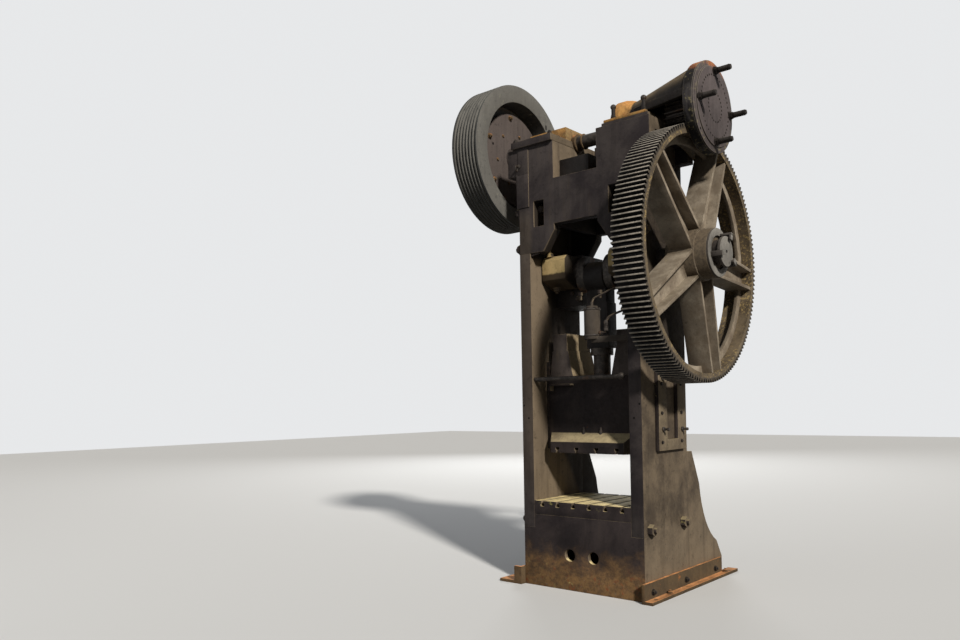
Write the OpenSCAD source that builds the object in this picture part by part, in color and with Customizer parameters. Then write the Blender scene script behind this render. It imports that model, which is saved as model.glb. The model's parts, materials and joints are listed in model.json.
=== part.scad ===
// Geared crank press with straight uprights, for trimming forgings.
// X runs along the shafts, with the gear on +X. Y runs from the front of the press to its back.
// Z is up, from the face that the feet rest on. The origin is the centre of the four anchor holes.

/* [Uprights] */
// Width of the press over its two uprights
frame_w = 1200; // [1100:10:1300]
// Depth of the uprights, front to back
frame_d = 780; // [740:10:860]
// Thickness of each upright
upright_t = 115; // [90:5:130]
// Height where the uprights end and the head stands on them
upright_top = 2940; // [2900:10:3000]

/* [Bed] */
// Height of the top of the bed
bed_z = 745; // [700:5:790]
// Thickness of the bed's table
table_t = 120; // [100:5:140]
// Distance between the slots of the bed
slot_pitch = 160; // [140:5:170]
// Width of a slot's neck
slot_neck = 22; // [16:1:28]
// Width of a slot's wide part
slot_wide = 40; // [34:1:50]
// Thickness of the bed's front and rear plates
bed_plate_t = 40; // [30:5:60]
// Height up to which the front plate covers the uprights
apron_z = 510; // [460:10:560]
// Diameter of the two holes in the front plate
drop_hole_d = 105; // [80:5:130]
// Distance between the two holes in the front plate
drop_hole_gap = 235; // [200:5:280]
// Height of the two holes in the front plate
drop_hole_z = 298; // [250:2:340]

/* [Feet] */
// Height of the foot's standing leg
foot_h = 155; // [130:5:180]
// Thickness of both legs of the foot
foot_t = 25; // [18:1:32]
// Width of the right foot's lying leg
right_foot_w = 95; // [85:5:120]
// Width of the left foot's lying leg
left_foot_w = 245; // [150:5:260]
// How far the feet reach in front of the uprights
foot_front = 60; // [40:5:90]
// How far the lying legs reach behind the front of the press
foot_rear = 1580; // [1540:10:1640]
// Distance of the anchor holes from each end of the foot
anchor_inset = 120; // [100:5:200]
// Diameter of the anchor holes
anchor_d = 30; // [22:1:36]
// Distance of the anchor holes from the upright's side
anchor_out = 60; // [50:1:66]

/* [Rear legs] */
// Height of the rear leg's top
leg_top = 1160; // [1080:10:1200]
// Depth of the rear leg's top
leg_head_d = 105; // [90:5:120]
// How far back the rear leg reaches at the ground
leg_rear = 1460; // [1420:10:1500]

/* [Head] */
// Height of the head's top, which carries the shaft's bearings
head_top = 3900; // [3860:10:3940]
// Height of the valley between the two pedestals
valley_z = 3570; // [3520:10:3620]
// Height of the rear plate between the two pedestals, where it closes the view under the shaft
rear_valley_z = 3990; // [3940:10:4020]
// Height of the head's lower edge over the crank
lintel_z = 3170; // [3150:10:3220]
// Height where the pedestals begin to stand out over the uprights
shoulder_z = 3655; // [3600:5:3700]
// Distance between the two pedestals
valley_w = 440; // [400:10:460]
// How far a pedestal stands out over the upright's side
pedestal_out = 120; // [100:5:125]
// Thickness of the head's front and rear plates
head_plate_t = 100; // [80:5:120]
// Width of the head's two windows
window_w = 110; // [80:5:130]
// Height of the head's two windows
window_h = 230; // [180:5:260]
// Distance of the windows from the side of the upright
window_in = 160; // [150:5:170]

/* [Gears] */
// Module of the teeth
gear_module = 13; // [12:0.5:13.5]
// Number of teeth of the big gear
gear_teeth = 158; // [151:1:161]
// Number of teeth of the pinion
pinion_teeth = 23; // [20:1:28]
// Width of the teeth
face_w = 250; // [220:5:280]
// Play between the teeth, at the pitch circle
backlash = 1.2; // [0.8:0.1:2]
// Gap between the pedestals and the gear
gear_gap = 15; // [12:1:25]
// Thickness of the gear's rim under the teeth
rim_t = 46; // [36:1:60]
// Radius of the gear's hub
hub_r = 200; // [150:5:205]
// Radius of the boss that the arms grow from
boss_r = 215; // [200:5:240]
// How far the gear's hub stands out over the rim
hub_out = 100; // [70:5:120]
// Thickness of an arm's edges and of its web
arm_t = 26; // [18:1:32]
// Width of an arm at the hub
arm_hub_w = 245; // [180:5:250]
// Width of an arm at the rim
arm_rim_w = 185; // [160:5:200]
// Depth of an arm along the shaft
arm_d = 200; // [150:5:210]
// How far the arms lie behind the face of the gear
arm_in = 8; // [5:1:25]
// Inner radius of the rib that runs round the inside of the rim
rib_r = 900; // [860:5:930]

/* [Crank] */
// Height of the crankshaft's axis
crank_z = 2785; // [2770:5:2800]
// Distance of the crankshaft's axis from the front of the press
crank_y = 390; // [380:5:400]
// Radius of the crank, half of the ram's stroke
crank_r = 70; // [50:5:75]
// Diameter of the crankshaft's main journals
journal_d = 200; // [180:5:220]
// Diameter of the crank pin
pin_d = 180; // [160:5:190]
// Width of the crank pin, between the webs
pin_w = 200; // [180:5:220]
// Thickness of a crank web
web_t = 80; // [60:5:90]
// Running clearance between a shaft and its bearing
running = 0.05; // [0.03:0.01:0.09]

/* [Connecting rod] */
// Outer radius of the rod's big end
big_end_r = 140; // [130:1:150]
// Width of the rod's shank
shank_w = 220; // [190:5:230]
// Depth of the rod's shank
shank_d = 150; // [120:5:160]
// Height of the shank's lower end
shank_z = 2080; // [2060:10:2120]
// Diameter of the adjusting screw
screw_d = 150; // [130:2:160]
// Diameter of the ball at the screw's end
ball_d = 170; // [160:2:180]
// Height of the ball's centre
ball_z = 1740; // [1720:5:1760]

/* [Ram] */
// Height of the ram's working face
ram_z = 1165; // [1120:5:1200]
// Distance of the ram's front from the front of the press
ram_y = 200; // [180:5:220]
// Depth of the ram
ram_d = 400; // [380:10:420]
// Height of the ram's top
ram_top = 1830; // [1800:10:1860]
// Height of the ram's flange
flange_h = 95; // [70:5:110]
// Height of the slope over the flange
slope_h = 80; // [60:5:100]
// How far the flange stands out at front and back
flange_out = 100; // [80:5:110]
// How far the flange's corners are cut back at each side
flange_cut = 59; // [40:1:80]
// Distance between the slots of the ram
ram_pitch = 200; // [180:5:210]
// Gap between the ram and its guides
slide_gap = 0.3; // [0.2:0.05:0.4]
// Gap between the ram's pocket and the ball over the whole stroke
pocket_gap = 6; // [6:1:10]
// Height of the ram's two horns up to their step
horn_h = 240; // [200:10:260]
// Height of the horns' upper part
horn_up = 150; // [120:10:170]
// Width of a horn's foot
horn_w = 250; // [200:5:260]

/* [Drive shaft] */
// Diameter of the drive shaft
shaft_d = 116; // [100:2:130]
// Radius of the right bearing's domed cap
dome_r = 236; // [220:2:244]
// Height of the left bearing's cap over the shaft's axis
left_cap_h = 122; // [110:2:140]
// Depth of the left bearing's cap
left_cap_d = 300; // [260:10:340]

/* [Flywheel] */
// Diameter of the flywheel
fly_d = 1366; // [1340:2:1420]
// Width of the flywheel's rim
fly_w = 295; // [280:5:310]
// Distance from the left pedestal to the flywheel
fly_gap = 127; // [60:1:140]
// Inner radius of the flywheel's rim
fly_rim_r = 523; // [500:1:560]
// Thickness of the flywheel's web
fly_web_t = 60; // [50:5:80]
// Radius of the disc on the flywheel's hub
fly_disc_r = 440; // [420:5:460]
// Distance of this disc from the flywheel's right face
fly_disc_in = 103; // [80:1:120]
// Number of belt grooves
grooves = 7; // [6:1:8]
// Distance between the belt grooves
groove_pitch = 37; // [34:1:38]
// Depth of a belt groove
groove_d = 20; // [14:1:24]

/* [Brake] */
// Radius of the brake drum
drum_r = 366; // [350:2:400]
// Width of the brake drum
drum_w = 105; // [95:5:140]
// Gap between the gear and the brake drum
drum_gap = 12; // [10:1:20]
// Distance of the studs from the shaft's axis
stud_r = 288; // [260:2:300]
// Diameter of the studs
stud_d = 34; // [26:1:40]
// Length of the studs outside the cover
stud_l = 140; // [110:5:170]

/* [Guides] */
// Width of a cover plate, front to back
cover_w = 480; // [440:10:500]
// Height of a cover plate's lower edge
cover_z = 1195; // [1165:5:1220]
// Height of a cover plate
cover_h = 780; // [700:10:820]
// Thickness of a cover plate
cover_t = 38; // [30:1:44]
// Width of a cover plate's frame round its opening
cover_frame = 90; // [70:5:110]
// Thickness of the ram's guides
guide_t = 34.7; // [25:0.1:45]
// Diameter of the tie bolts
tie_d = 48; // [40:2:56]

/* [Hidden] */

half_w = frame_w / 2;
inner_x = half_w - upright_t;
foot_mid = (foot_rear - foot_front) / 2;
anchor_front = anchor_inset - foot_front;
anchor_rear = foot_rear - anchor_inset;
pedestal_x = half_w + pedestal_out;
table_z = bed_z - table_t;
round_fn = 96;

// Gears: the axes stand over each other, one centre distance apart.
gear_r = gear_module * gear_teeth / 2;
pinion_r = gear_module * pinion_teeth / 2;
shaft_z = crank_z + gear_r + pinion_r;
gear_x = pedestal_x + gear_gap;
gear_face = gear_x + face_w;
pressure = 20;
root_r = gear_r - 1.25 * gear_module;
rim_r = root_r - rim_t;
drum_x = gear_face + drum_gap;
drum_face = drum_x + drum_w;

// Crank: at rest the pin is at the bottom of its circle.
journal_r = journal_d / 2;
web_x = pin_w / 2 + web_t;
housing_x = web_x + 10;
pin_z = crank_z - crank_r;
fly_x = pedestal_x + fly_gap;
housing_z = 2480;

// The ram fills the space between its guides.
ram_w = 2 * (inner_x - guide_t - slide_gap);

// Rounded dark cast iron and bare steel, as they show.
IRON = [0.21, 0.17, 0.15];
DARK = [0.13, 0.11, 0.10];
RUST = [0.45, 0.24, 0.13];
TAN = [0.40, 0.34, 0.28];
GREEN = [0.33, 0.34, 0.30];
STEEL = [0.30, 0.28, 0.26];

module place() translate([0, -foot_mid, 0]) children();
module right_or_left(side) mirror([side < 0 ? 1 : 0, 0, 0]) children();
module slab(x, y, z) translate([x[0], y[0], z[0]]) cube([x[1] - x[0], y[1] - y[0], z[1] - z[0]]);
module bar_x(r, x, y, z) translate([x[0], y, z]) rotate([0, 90, 0]) cylinder(r = r, h = x[1] - x[0], $fn = round_fn);
module bar_y(r, x, y, z) translate([x, y[1], z]) rotate([90, 0, 0]) cylinder(r = r, h = y[1] - y[0], $fn = round_fn);
module bar_z(r, x, y, z) translate([x, y, z[0]]) cylinder(r = r, h = z[1] - z[0], $fn = round_fn);
module hex_x(r, x, y, z) translate([x[0], y, z]) rotate([0, 90, 0]) cylinder(r = r, h = x[1] - x[0], $fn = 6);
module hex_y(r, x, y, z) translate([x, y[1], z]) rotate([90, 0, 0]) cylinder(r = r, h = y[1] - y[0], $fn = 6);
module hex_z(r, x, y, z) translate([x, y, z[0]]) cylinder(r = r, h = z[1] - z[0], $fn = 6);
// An outline drawn in Y and Z, with its thickness along X.
module side_plate(x) translate([x[0], 0, 0]) rotate([90, 0, 90]) linear_extrude(x[1] - x[0]) children();
// An outline drawn in X and Z, with its thickness along Y.
module front_plate(y) translate([0, y[1], 0]) rotate([90, 0, 0]) linear_extrude(y[1] - y[0]) children();

function polar(r, a) = [r * cos(a), r * sin(a)];
function bezier(p, t) = p[0] * pow(1 - t, 3) + 3 * p[1] * t * pow(1 - t, 2)
    + 3 * p[2] * t * t * (1 - t) + p[3] * pow(t, 3);
// Angle between the start of an involute and its point at radius r.
function unwound(base, r) = r > base ? sqrt(pow(r / base, 2) - 1) * 180 / PI - acos(base / r) : 0;
// Half of a tooth's angle at radius r.
function tooth_half(n, r) = let (pitch_r = gear_module * n / 2, base = pitch_r * cos(pressure))
    (90 - 90 * backlash / (PI * gear_module)) / n + unwound(base, pitch_r) - unwound(base, r);
function tooth_outline(n, turn) = let (
        pitch_r = gear_module * n / 2,
        low = pitch_r - 1.25 * gear_module,
        flank = [for (k = [0:2]) max(low, pitch_r * cos(pressure)) * (1 - k / 2) + (pitch_r + gear_module) * k / 2]
    ) concat(
        [polar(low, turn - tooth_half(n, flank[0]) * 1.02)],
        [for (k = [0:2]) polar(flank[k], turn - tooth_half(n, flank[k]))],
        [for (k = [2:-1:0]) polar(flank[k], turn + tooth_half(n, flank[k]))],
        [polar(low, turn + tooth_half(n, flank[0]) * 1.02)]
    );
module toothed(n, first) {
    polygon([for (i = [0:n - 1]) each tooth_outline(n, first + i * 360 / n)]);
}

module upright(side) color(IRON) place() right_or_left(side) difference() {
    slab([inner_x, half_w], [0, frame_d], [0, upright_top]);
    slab([inner_x - 1, half_w + 1], [-1, bed_plate_t], [-1, apron_z]);
    bar_x(journal_r + running, [inner_x - 1, half_w + 1], crank_y, crank_z);
    for (y = tie_ys) bar_x(tie_d / 2, [inner_x - 1, half_w + 1], y, tie_z);
}
tie_front = 55;
tie_rear = 72;
tie_ys = [bed_plate_t + tie_front, frame_d - bed_plate_t - tie_rear];
tie_z = 565;
head_tie_zs = [3000, 3330];
module left_upright() upright(-1);
module right_upright() upright(1);

leg_curve = [[1022, 865], [1060, 600], [1180, 400], [1358, 312]];
module rear_leg(side) color(IRON) place() right_or_left(side) side_plate([inner_x, half_w - 6])
    polygon(concat(
        [[frame_d, 0], [frame_d, leg_top], [frame_d + leg_head_d, leg_top]],
        [for (t = [0:0.125:1]) bezier(leg_curve, t)],
        [[leg_rear, foot_h], [leg_rear, 0]]
    ));
module left_rear_leg() rear_leg(-1);
module right_rear_leg() rear_leg(1);

module foot(side, w) color(RUST) place() right_or_left(side) difference() {
    union() {
        slab([half_w, half_w + foot_t], [-foot_front, leg_rear - foot_short], [0, foot_h]);
        slab([half_w, half_w + w], [-foot_front, foot_rear], [0, foot_t]);
        if (w > 2 * anchor_out)
            slab([half_w, half_w + 80], [-foot_front, -foot_front + foot_t], [0, foot_h]);
    }
    for (y = [anchor_front, anchor_rear]) bar_z(anchor_d / 2, half_w + anchor_out, y, [-1, foot_t + 1]);
}
foot_short = 75;
module left_foot() foot(-1, left_foot_w);
module right_foot() foot(1, right_foot_w);

module bed_front_plate() color(IRON) place() difference() {
    union() {
        slab([-half_w, half_w], [0, bed_plate_t], [0, apron_z]);
        slab([-inner_x, inner_x], [0, bed_plate_t], [0, table_z]);
    }
    for (side = [-1, 1])
        bar_y(drop_hole_d / 2, side * drop_hole_gap / 2, [-1, bed_plate_t + 1], drop_hole_z);
}
module bed_rear_plate() color(IRON) place()
    slab([-inner_x, inner_x], [frame_d - bed_plate_t, frame_d], [0, table_z]);
module slot(depth) {
    translate([-slot_neck / 2, -depth]) square([slot_neck, depth + 1]);
    translate([-slot_wide / 2, -depth]) square([slot_wide, depth * 0.45]);
}
module bed_table() color(TAN) place() front_plate([0, frame_d]) difference() {
    translate([-inner_x, table_z]) square([2 * inner_x, table_t]);
    for (k = [-2.5:1:2.5]) translate([k * slot_pitch, bed_z]) slot(48);
}

module head_outline(valley) {
    side = [
        [valley_w / 2, lintel_z], [valley_w / 2, lintel_z - 50], [half_w - 260, upright_top],
        [half_w, upright_top], [half_w, shoulder_z], [pedestal_x, shoulder_z],
        [pedestal_x, head_top], [valley_w / 2, head_top], [valley_w / 2, valley]
    ];
    polygon(concat(side, [for (k = [len(side) - 1:-1:0]) [-side[k][0], side[k][1]]]));
}
module head_front_plate() color(IRON) place() front_plate([0, head_plate_t]) difference() {
    head_outline(valley_z);
    for (side = [-1, 1])
        translate([side * (half_w - window_in - window_w / 2) - window_w / 2, lintel_z]) square([window_w, window_h]);
}
module head_rear_plate() color(IRON) place()
    front_plate([frame_d - head_plate_t, frame_d]) head_outline(rear_valley_z);
module pedestal(side) color(IRON) place() right_or_left(side) {
    between = [head_plate_t, frame_d - head_plate_t];
    slab([half_w - 60, half_w], between, [upright_top, head_top - 100]);
    slab([valley_w / 2, pedestal_x], between, [head_top - 100, head_top]);
    slab([valley_w / 2, valley_w / 2 + 60], between, [lintel_z, head_top - 100]);
}
module left_pedestal() pedestal(-1);
module right_pedestal() pedestal(1);
module valley_box() color(DARK) place()
    slab([-valley_w / 2, valley_w / 2 - 140], [head_plate_t, head_plate_t + 160], [valley_z - 60, valley_z + 175]);

module main_bearing(side) color(DARK) place() right_or_left(side) difference() {
    slab([housing_x, inner_x], [crank_y, frame_d], [housing_z, upright_top]);
    bar_x(journal_r + running, [housing_x - 1, inner_x + 1], crank_y, crank_z);
}
module left_main_bearing() main_bearing(-1);
module right_main_bearing() main_bearing(1);
module main_cap(side) color(TAN) place() right_or_left(side) difference() {
    front = crank_y - journal_r - cap_wall;
    side_plate([housing_x + 30, inner_x - 15]) polygon([
        [crank_y, crank_z - 150], [crank_y - 90, crank_z - 150], [front, crank_z - 80],
        [front, upright_top - 60], [front + 30, upright_top - 20], [crank_y, upright_top - 20]
    ]);
    bar_x(journal_r + running, [housing_x - 1, inner_x + 1], crank_y, crank_z);
}
cap_wall = 135;
module left_main_cap() main_cap(-1);
module right_main_cap() main_cap(1);

module guide(side) color(STEEL) place() right_or_left(side)
    slab([ram_w / 2 + slide_gap, inner_x], [ram_y + 20, ram_y + ram_d - 20], [cover_z, cover_z + cover_h]);
module left_guide() guide(-1);
module right_guide() guide(1);
module guide_cover(side) color(TAN) place() right_or_left(side) side_plate([half_w, half_w + cover_t]) difference() {
    translate([cover_y - cover_w / 2, cover_z]) square([cover_w, cover_h]);
    translate([cover_y - cover_w / 2 + 1.6 * cover_frame, cover_z + cover_frame])
        square([cover_w - 3.2 * cover_frame, cover_h - 2 * cover_frame]);
}
cover_y = frame_d / 2 + 65;
module left_guide_cover() guide_cover(-1);
module right_guide_cover() guide_cover(1);

// A tie bolt runs from nut to nut through both sides of the press.
module tie_bolt(y, z) {
    bar_x(tie_d / 2, [-half_w - 70, half_w + 70], y, z);
    for (side = [-1, 1]) right_or_left(side) hex_x(tie_d, [half_w, half_w + 45], y, z);
}
// Up in the head only their ends stand out of the casting.
module tie_bolt_end(y, z) {
    hex_x(tie_d, [half_w, half_w + 45], y, z);
    bar_x(tie_d / 2, [half_w, half_w + 70], y, z);
}
module tie_bolts() color(DARK) place() {
    for (y = tie_ys) tie_bolt(y, tie_z);
    for (z = head_tie_zs, side = [-1, 1]) right_or_left(side) tie_bolt_end(60, z);
}

module stop_bar() color(STEEL) place() {
    bar_x(19, [-inner_x, inner_x - 90], 40, ram_top - 15);
    translate([inner_x - 90, 40, ram_top - 15]) sphere(r = 30, $fn = 48);
}
// The pump hangs at the end of an arm that the right upright carries.
pump_x = 88;
pump_y = 100;
pump_r = 69;
pump_z = [2140, 2400];
module oil_pump() color(TAN) place() {
    bar_z(pump_r, pump_x, pump_y, pump_z);
    bar_z(pump_r - 20, pump_x, pump_y, [pump_z[1], pump_z[1] + 24]);
    bar_z(12, pump_x, pump_y, [pump_z[1] + 24, pump_z[1] + 62]);
    slab([pump_x, inner_x], [pump_y - 25, pump_y + 25], [pump_z[0] - 30, pump_z[0] + 20]);
}

// The bearing's lower half reaches up to the shaft's axis.
module shaft_seat(side, y) color(IRON) place() right_or_left(side) difference() {
    slab([valley_w / 2, pedestal_x - 60], y, [head_top, shaft_z]);
    bar_x(shaft_d / 2 + running, [0, pedestal_x], crank_y, shaft_z);
}
module left_shaft_seat() shaft_seat(-1, [-30, frame_d + 30]);
module left_shaft_cap() color(RUST) place() right_or_left(-1) difference() {
    slab([cap_x, cap_end],
        [crank_y - left_cap_d / 2, crank_y + left_cap_d / 2], [shaft_z, shaft_z + left_cap_h]);
    bar_x(shaft_d / 2 + running, [0, pedestal_x], crank_y, shaft_z);
}
module right_shaft_seat() shaft_seat(1, right_sole);
right_sole = [crank_y - dome_r - 60, crank_y + dome_r + 60];
cap_x = valley_w / 2 + 20;
cap_end = pedestal_x - 80;
cap_sole = 22;
// The dome's outline along the shaft: [distance from its left end, radius].
dome = [[0, dome_r - 66], [14, dome_r - 26], [38, dome_r], [104, dome_r], [150, dome_r - 11], [200, dome_r - 30]];
module right_shaft_cap() color(RUST) place() difference() {
    union() {
        translate([cap_x, crank_y, shaft_z]) rotate([0, 90, 0]) rotate_extrude($fn = round_fn)
            polygon(concat([[0, 0]], [for (p = dome) [p[1], p[0]]], [[0, dome[5][0]]]));
        slab([cap_x, cap_end], right_sole, [shaft_z, shaft_z + cap_sole]);
    }
    slab([0, pedestal_x], [-200, frame_d + 200], [shaft_z - 300, shaft_z]);
    bar_x(shaft_d / 2 + running, [0, pedestal_x], crank_y, shaft_z);
}

// The bracket is half a hollow cone, with a thicker band along its lower edges.
cone_x = cap_x + dome[5][0] + 10;
module cone(more, h) translate([cone_x, crank_y, shaft_z]) rotate([0, 90, 0]) translate([0, 0, (drum_x - cone_x - h) / 2])
    cylinder(r1 = dome_r - 30 + more, r2 = drum_r - 19 + more, h = h, $fn = round_fn);
module brake_bracket() color(DARK) place() difference() {
    union() {
        cone(0, drum_x - cone_x);
        intersection() {
            cone(14, drum_x - cone_x);
            slab([0, drum_x + 1], [crank_y - 500, crank_y + 500], [shaft_z, shaft_z + cap_sole + 62]);
        }
    }
    cone(-30, drum_x - cone_x + 0.02);
    slab([0, drum_x + 1], [crank_y - 500, crank_y + 500], [shaft_z - 500, shaft_z + cap_sole]);
}
cover_lip = 13;
module brake_drum() color(RUST) place() difference() {
    bar_x(drum_r, [drum_x, drum_face - 2 * cover_lip], crank_y, shaft_z);
    bar_x(drum_r - 25, [drum_x + 20, drum_face], crank_y, shaft_z);
    bar_x(shaft_d / 2 + 5, [drum_x - 1, drum_face], crank_y, shaft_z);
}
module brake_cover() color(TAN) place() {
    bar_x(drum_r, [drum_face - 2 * cover_lip, drum_face - cover_lip], crank_y, shaft_z);
    bar_x(drum_r - 46, [drum_face - cover_lip, drum_face], crank_y, shaft_z);
}
module brake_studs() color(DARK) place() for (a = [0:90:270])
    translate([0, crank_y, shaft_z]) rotate([a, 0, 0]) {
        bar_x(stud_d / 2, [drum_face, drum_face + stud_l], stud_r, 0);
        hex_x(stud_d * 0.9, [drum_face, drum_face + 26], stud_r, 0);
    }

module crankshaft() color(STEEL) place() {
    bar_x(journal_r, [-half_w, -web_x], crank_y, crank_z);
    bar_x(journal_r, [web_x, gear_face + hub_out + end_out], crank_y, crank_z);
    bar_x(pin_d / 2, [-web_x, web_x], crank_y, pin_z);
    for (side = [-1, 1]) right_or_left(side) hull() for (z = [crank_z, pin_z])
        translate([pin_w / 2, crank_y, z]) rotate([0, 90, 0]) cylinder(r = journal_r + 25, h = web_t, $fn = 48);
}
module gear_rim() color(TAN) place() difference() {
    translate([gear_x, crank_y, crank_z]) rotate([90, 0, 90]) linear_extrude(face_w) toothed(gear_teeth, 90);
    bar_x(rim_r, [gear_x - 1, gear_face + 1], crank_y, crank_z);
}
// An arm has two edges along its length and a web between them, halfway through its depth.
// Its edges run from inside the boss to the rim, which cuts them off round.
arm_start = hub_r - 30;
arm_end = rim_r + arm_t;
arm_x = gear_face - arm_in - arm_d;
rib_x = arm_x + arm_d / 2;
module arm_edge(side) polygon([
    [arm_start, side * arm_hub_w / 2], [arm_end, side * arm_rim_w / 2],
    [arm_end, side * (arm_rim_w / 2 - arm_t)], [arm_start, side * (arm_hub_w / 2 - arm_t)]
]);
module arm_web() polygon([
    [arm_start, -arm_hub_w / 2 + arm_t / 2], [arm_end, -arm_rim_w / 2 + arm_t / 2],
    [arm_end, arm_rim_w / 2 - arm_t / 2], [arm_start, arm_hub_w / 2 - arm_t / 2]
]);
module tube_x(inner, outer, x) difference() {
    bar_x(outer, x, 0, 0);
    bar_x(inner, [x[0] - 1, x[1] + 1], 0, 0);
}
module gear_spider() color(TAN) place() translate([0, crank_y, crank_z]) difference() {
    intersection() {
        union() {
            bar_x(hub_r, [gear_x, gear_face + hub_out], 0, 0);
            bar_x(boss_r, [arm_x - 8, gear_face], 0, 0);
            translate([arm_x, 0, 0]) rotate([90, 0, 90]) for (a = [66:72:354]) rotate(a) {
                for (side = [-1, 1]) linear_extrude(arm_d) arm_edge(side);
                translate([0, 0, (arm_d - arm_t) / 2]) linear_extrude(arm_t) arm_web();
            }
            tube_x(rib_r, rim_r + arm_t, [rib_x - arm_t / 2 - 2, rib_x + arm_t / 2 + 2]);
        }
        bar_x(rim_r, [gear_x - 1, gear_face + hub_out + 1], 0, 0);
    }
    bar_x(journal_r, [gear_x - 1, gear_face + hub_out + 1], 0, 0);
}
// A ring lies on the hub's end, and a disc closes the end of the shaft.
end_ring_t = 20;
end_disc_r = 122;
end_out = 60;
module crank_end_ring() color(TAN) place() {
    x = gear_face + hub_out;
    difference() {
        bar_x(hub_r - 4, [x, x + end_ring_t], crank_y, crank_z);
        bar_x(end_disc_r + 13, [x - 1, x + end_ring_t + 1], crank_y, crank_z);
    }
    bar_x(end_disc_r, [x + end_out, x + end_out + 26], crank_y, crank_z);
}

module connecting_rod() color(DARK) place() difference() {
    w = [-pin_w / 2 + 2, pin_w / 2 - 2];
    union() {
        bar_x(big_end_r, w, crank_y, pin_z);
        slab(w, [crank_y - shank_d / 2, crank_y + shank_d / 2], [shank_z, pin_z]);
        slab([-shank_w / 2, shank_w / 2], [crank_y - shank_d / 2, crank_y + shank_d / 2], [shank_z, housing_z]);
    }
    bar_x(pin_d / 2 + running, [-web_x, web_x], crank_y, pin_z);
}
module adjusting_screw() color(STEEL) place() {
    bar_z(screw_d / 2, 0, crank_y, [ball_z, shank_z]);
    translate([0, crank_y, ball_z]) sphere(r = ball_d / 2, $fn = 64);
    bar_z(screw_d / 2 + 25, 0, crank_y, [shank_z - 60, shank_z]);
}

pocket_x = ball_d / 2 + pocket_gap;
pocket_y = ball_d / 2 + crank_r + pocket_gap;
pocket_z = ball_z - ball_d / 2 - 2 * crank_r - pocket_gap;
module ram() color(TAN) place() difference() {
    union() {
        slab([-ram_w / 2, ram_w / 2], [ram_y, ram_y + ram_d], [ram_z, ram_top]);
        intersection() {
            side_plate([-ram_w / 2, ram_w / 2]) polygon([
                [ram_y - flange_out, ram_z], [ram_y + ram_d + flange_out, ram_z],
                [ram_y + ram_d + flange_out, ram_z + flange_h], [ram_y + ram_d, ram_z + flange_h + slope_h],
                [ram_y, ram_z + flange_h + slope_h], [ram_y - flange_out, ram_z + flange_h]
            ]);
            translate([0, 0, ram_z]) linear_extrude(flange_h + slope_h) flange_plan();
        }
    }
    bar_z(12, 0, crank_y, [ram_z - 1, ram_z + 60]);
    slab([-pocket_x, pocket_x], [crank_y - pocket_y, crank_y + pocket_y], [pocket_z, ram_top + 1]);
    front_plate([ram_y - flange_out - 1, ram_y + ram_d + flange_out + 1])
        for (k = [-1.5:1:1.5]) translate([k * ram_pitch, ram_z]) mirror([0, 1]) slot(48);
}
// Seen from above, the flange's corners are cut back in front of and behind the guides.
module flange_plan() {
    wide = ram_w / 2 - 20;
    short = wide - flange_cut;
    rear = ram_y + ram_d;
    polygon([
        [-wide, ram_y], [-short, ram_y - flange_out], [short, ram_y - flange_out], [wide, ram_y],
        [wide, rear], [short, rear + flange_out], [-short, rear + flange_out], [-wide, rear]
    ]);
}
horn_in = 6;
module ram_horns() color(TAN) place() for (side = [-1, 1]) right_or_left(side) {
    foot = ram_w / 2 - horn_in;
    step = ram_top + horn_h;
    front_plate([ram_y + 15, ram_y + ram_d]) polygon([
        [foot - horn_w, ram_top], [foot, ram_top], [foot - 30, step], [foot - 40, step],
        [foot - 40, step + horn_up], [foot - 190, step + horn_up], [foot - 190, step], [foot - 200, step]
    ]);
}

module drive_shaft() color(STEEL) place()
    bar_x(shaft_d / 2, [-fly_x - fly_w - 30, drum_face - 40], crank_y, shaft_z);
module pinion() color(STEEL) place() difference() {
    translate([gear_x, crank_y, shaft_z]) rotate([90, 0, 90])
        linear_extrude(face_w) toothed(pinion_teeth, -90 + 180 / pinion_teeth);
    bar_x(shaft_d / 2, [gear_x - 1, gear_face + 1], crank_y, shaft_z);
}

fly_hub_r = shaft_d / 2 + 60;
// The flywheel's half section: [radius, distance from its right face].
module fly_section() difference() {
    union() {
        translate([fly_rim_r, 0]) square([fly_d / 2 - fly_rim_r, fly_w]);
        translate([fly_hub_r, fly_w * 0.62]) square([fly_rim_r - fly_hub_r + 1, fly_web_t]);
    }
    for (k = [0:grooves - 1]) translate([fly_d / 2, 14 + groove_pitch * (k + 0.5)])
        polygon([[1, -12], [-groove_d, -6], [-groove_d, 6], [1, 12]]);
}
module flywheel() color(GREEN) place() translate([-fly_x, crank_y, shaft_z]) rotate([0, -90, 0])
    rotate_extrude($fn = 128) fly_section();
module flywheel_hub() color(GREEN) place() difference() {
    union() {
        bar_x(fly_hub_r, [-fly_x - fly_w, -fly_x + 20], crank_y, shaft_z);
        bar_x(fly_disc_r, [-fly_x - fly_disc_in - 30, -fly_x - fly_disc_in], crank_y, shaft_z);
    }
    bar_x(shaft_d / 2 + running, [-fly_x - fly_w - 1, -fly_x + 21], crank_y, shaft_z);
}

left_upright();
right_upright();
left_rear_leg();
right_rear_leg();
left_foot();
right_foot();
bed_front_plate();
bed_rear_plate();
bed_table();
head_front_plate();
head_rear_plate();
left_pedestal();
right_pedestal();
valley_box();
left_main_bearing();
right_main_bearing();
left_main_cap();
right_main_cap();
left_guide();
right_guide();
left_guide_cover();
right_guide_cover();
tie_bolts();
stop_bar();
oil_pump();
left_shaft_seat();
left_shaft_cap();
right_shaft_seat();
right_shaft_cap();
brake_bracket();
brake_drum();
brake_cover();
brake_studs();
crankshaft();
gear_rim();
gear_spider();
crank_end_ring();
connecting_rod();
adjusting_screw();
ram();
ram_horns();
drive_shaft();
pinion();
flywheel();
flywheel_hub();
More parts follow.
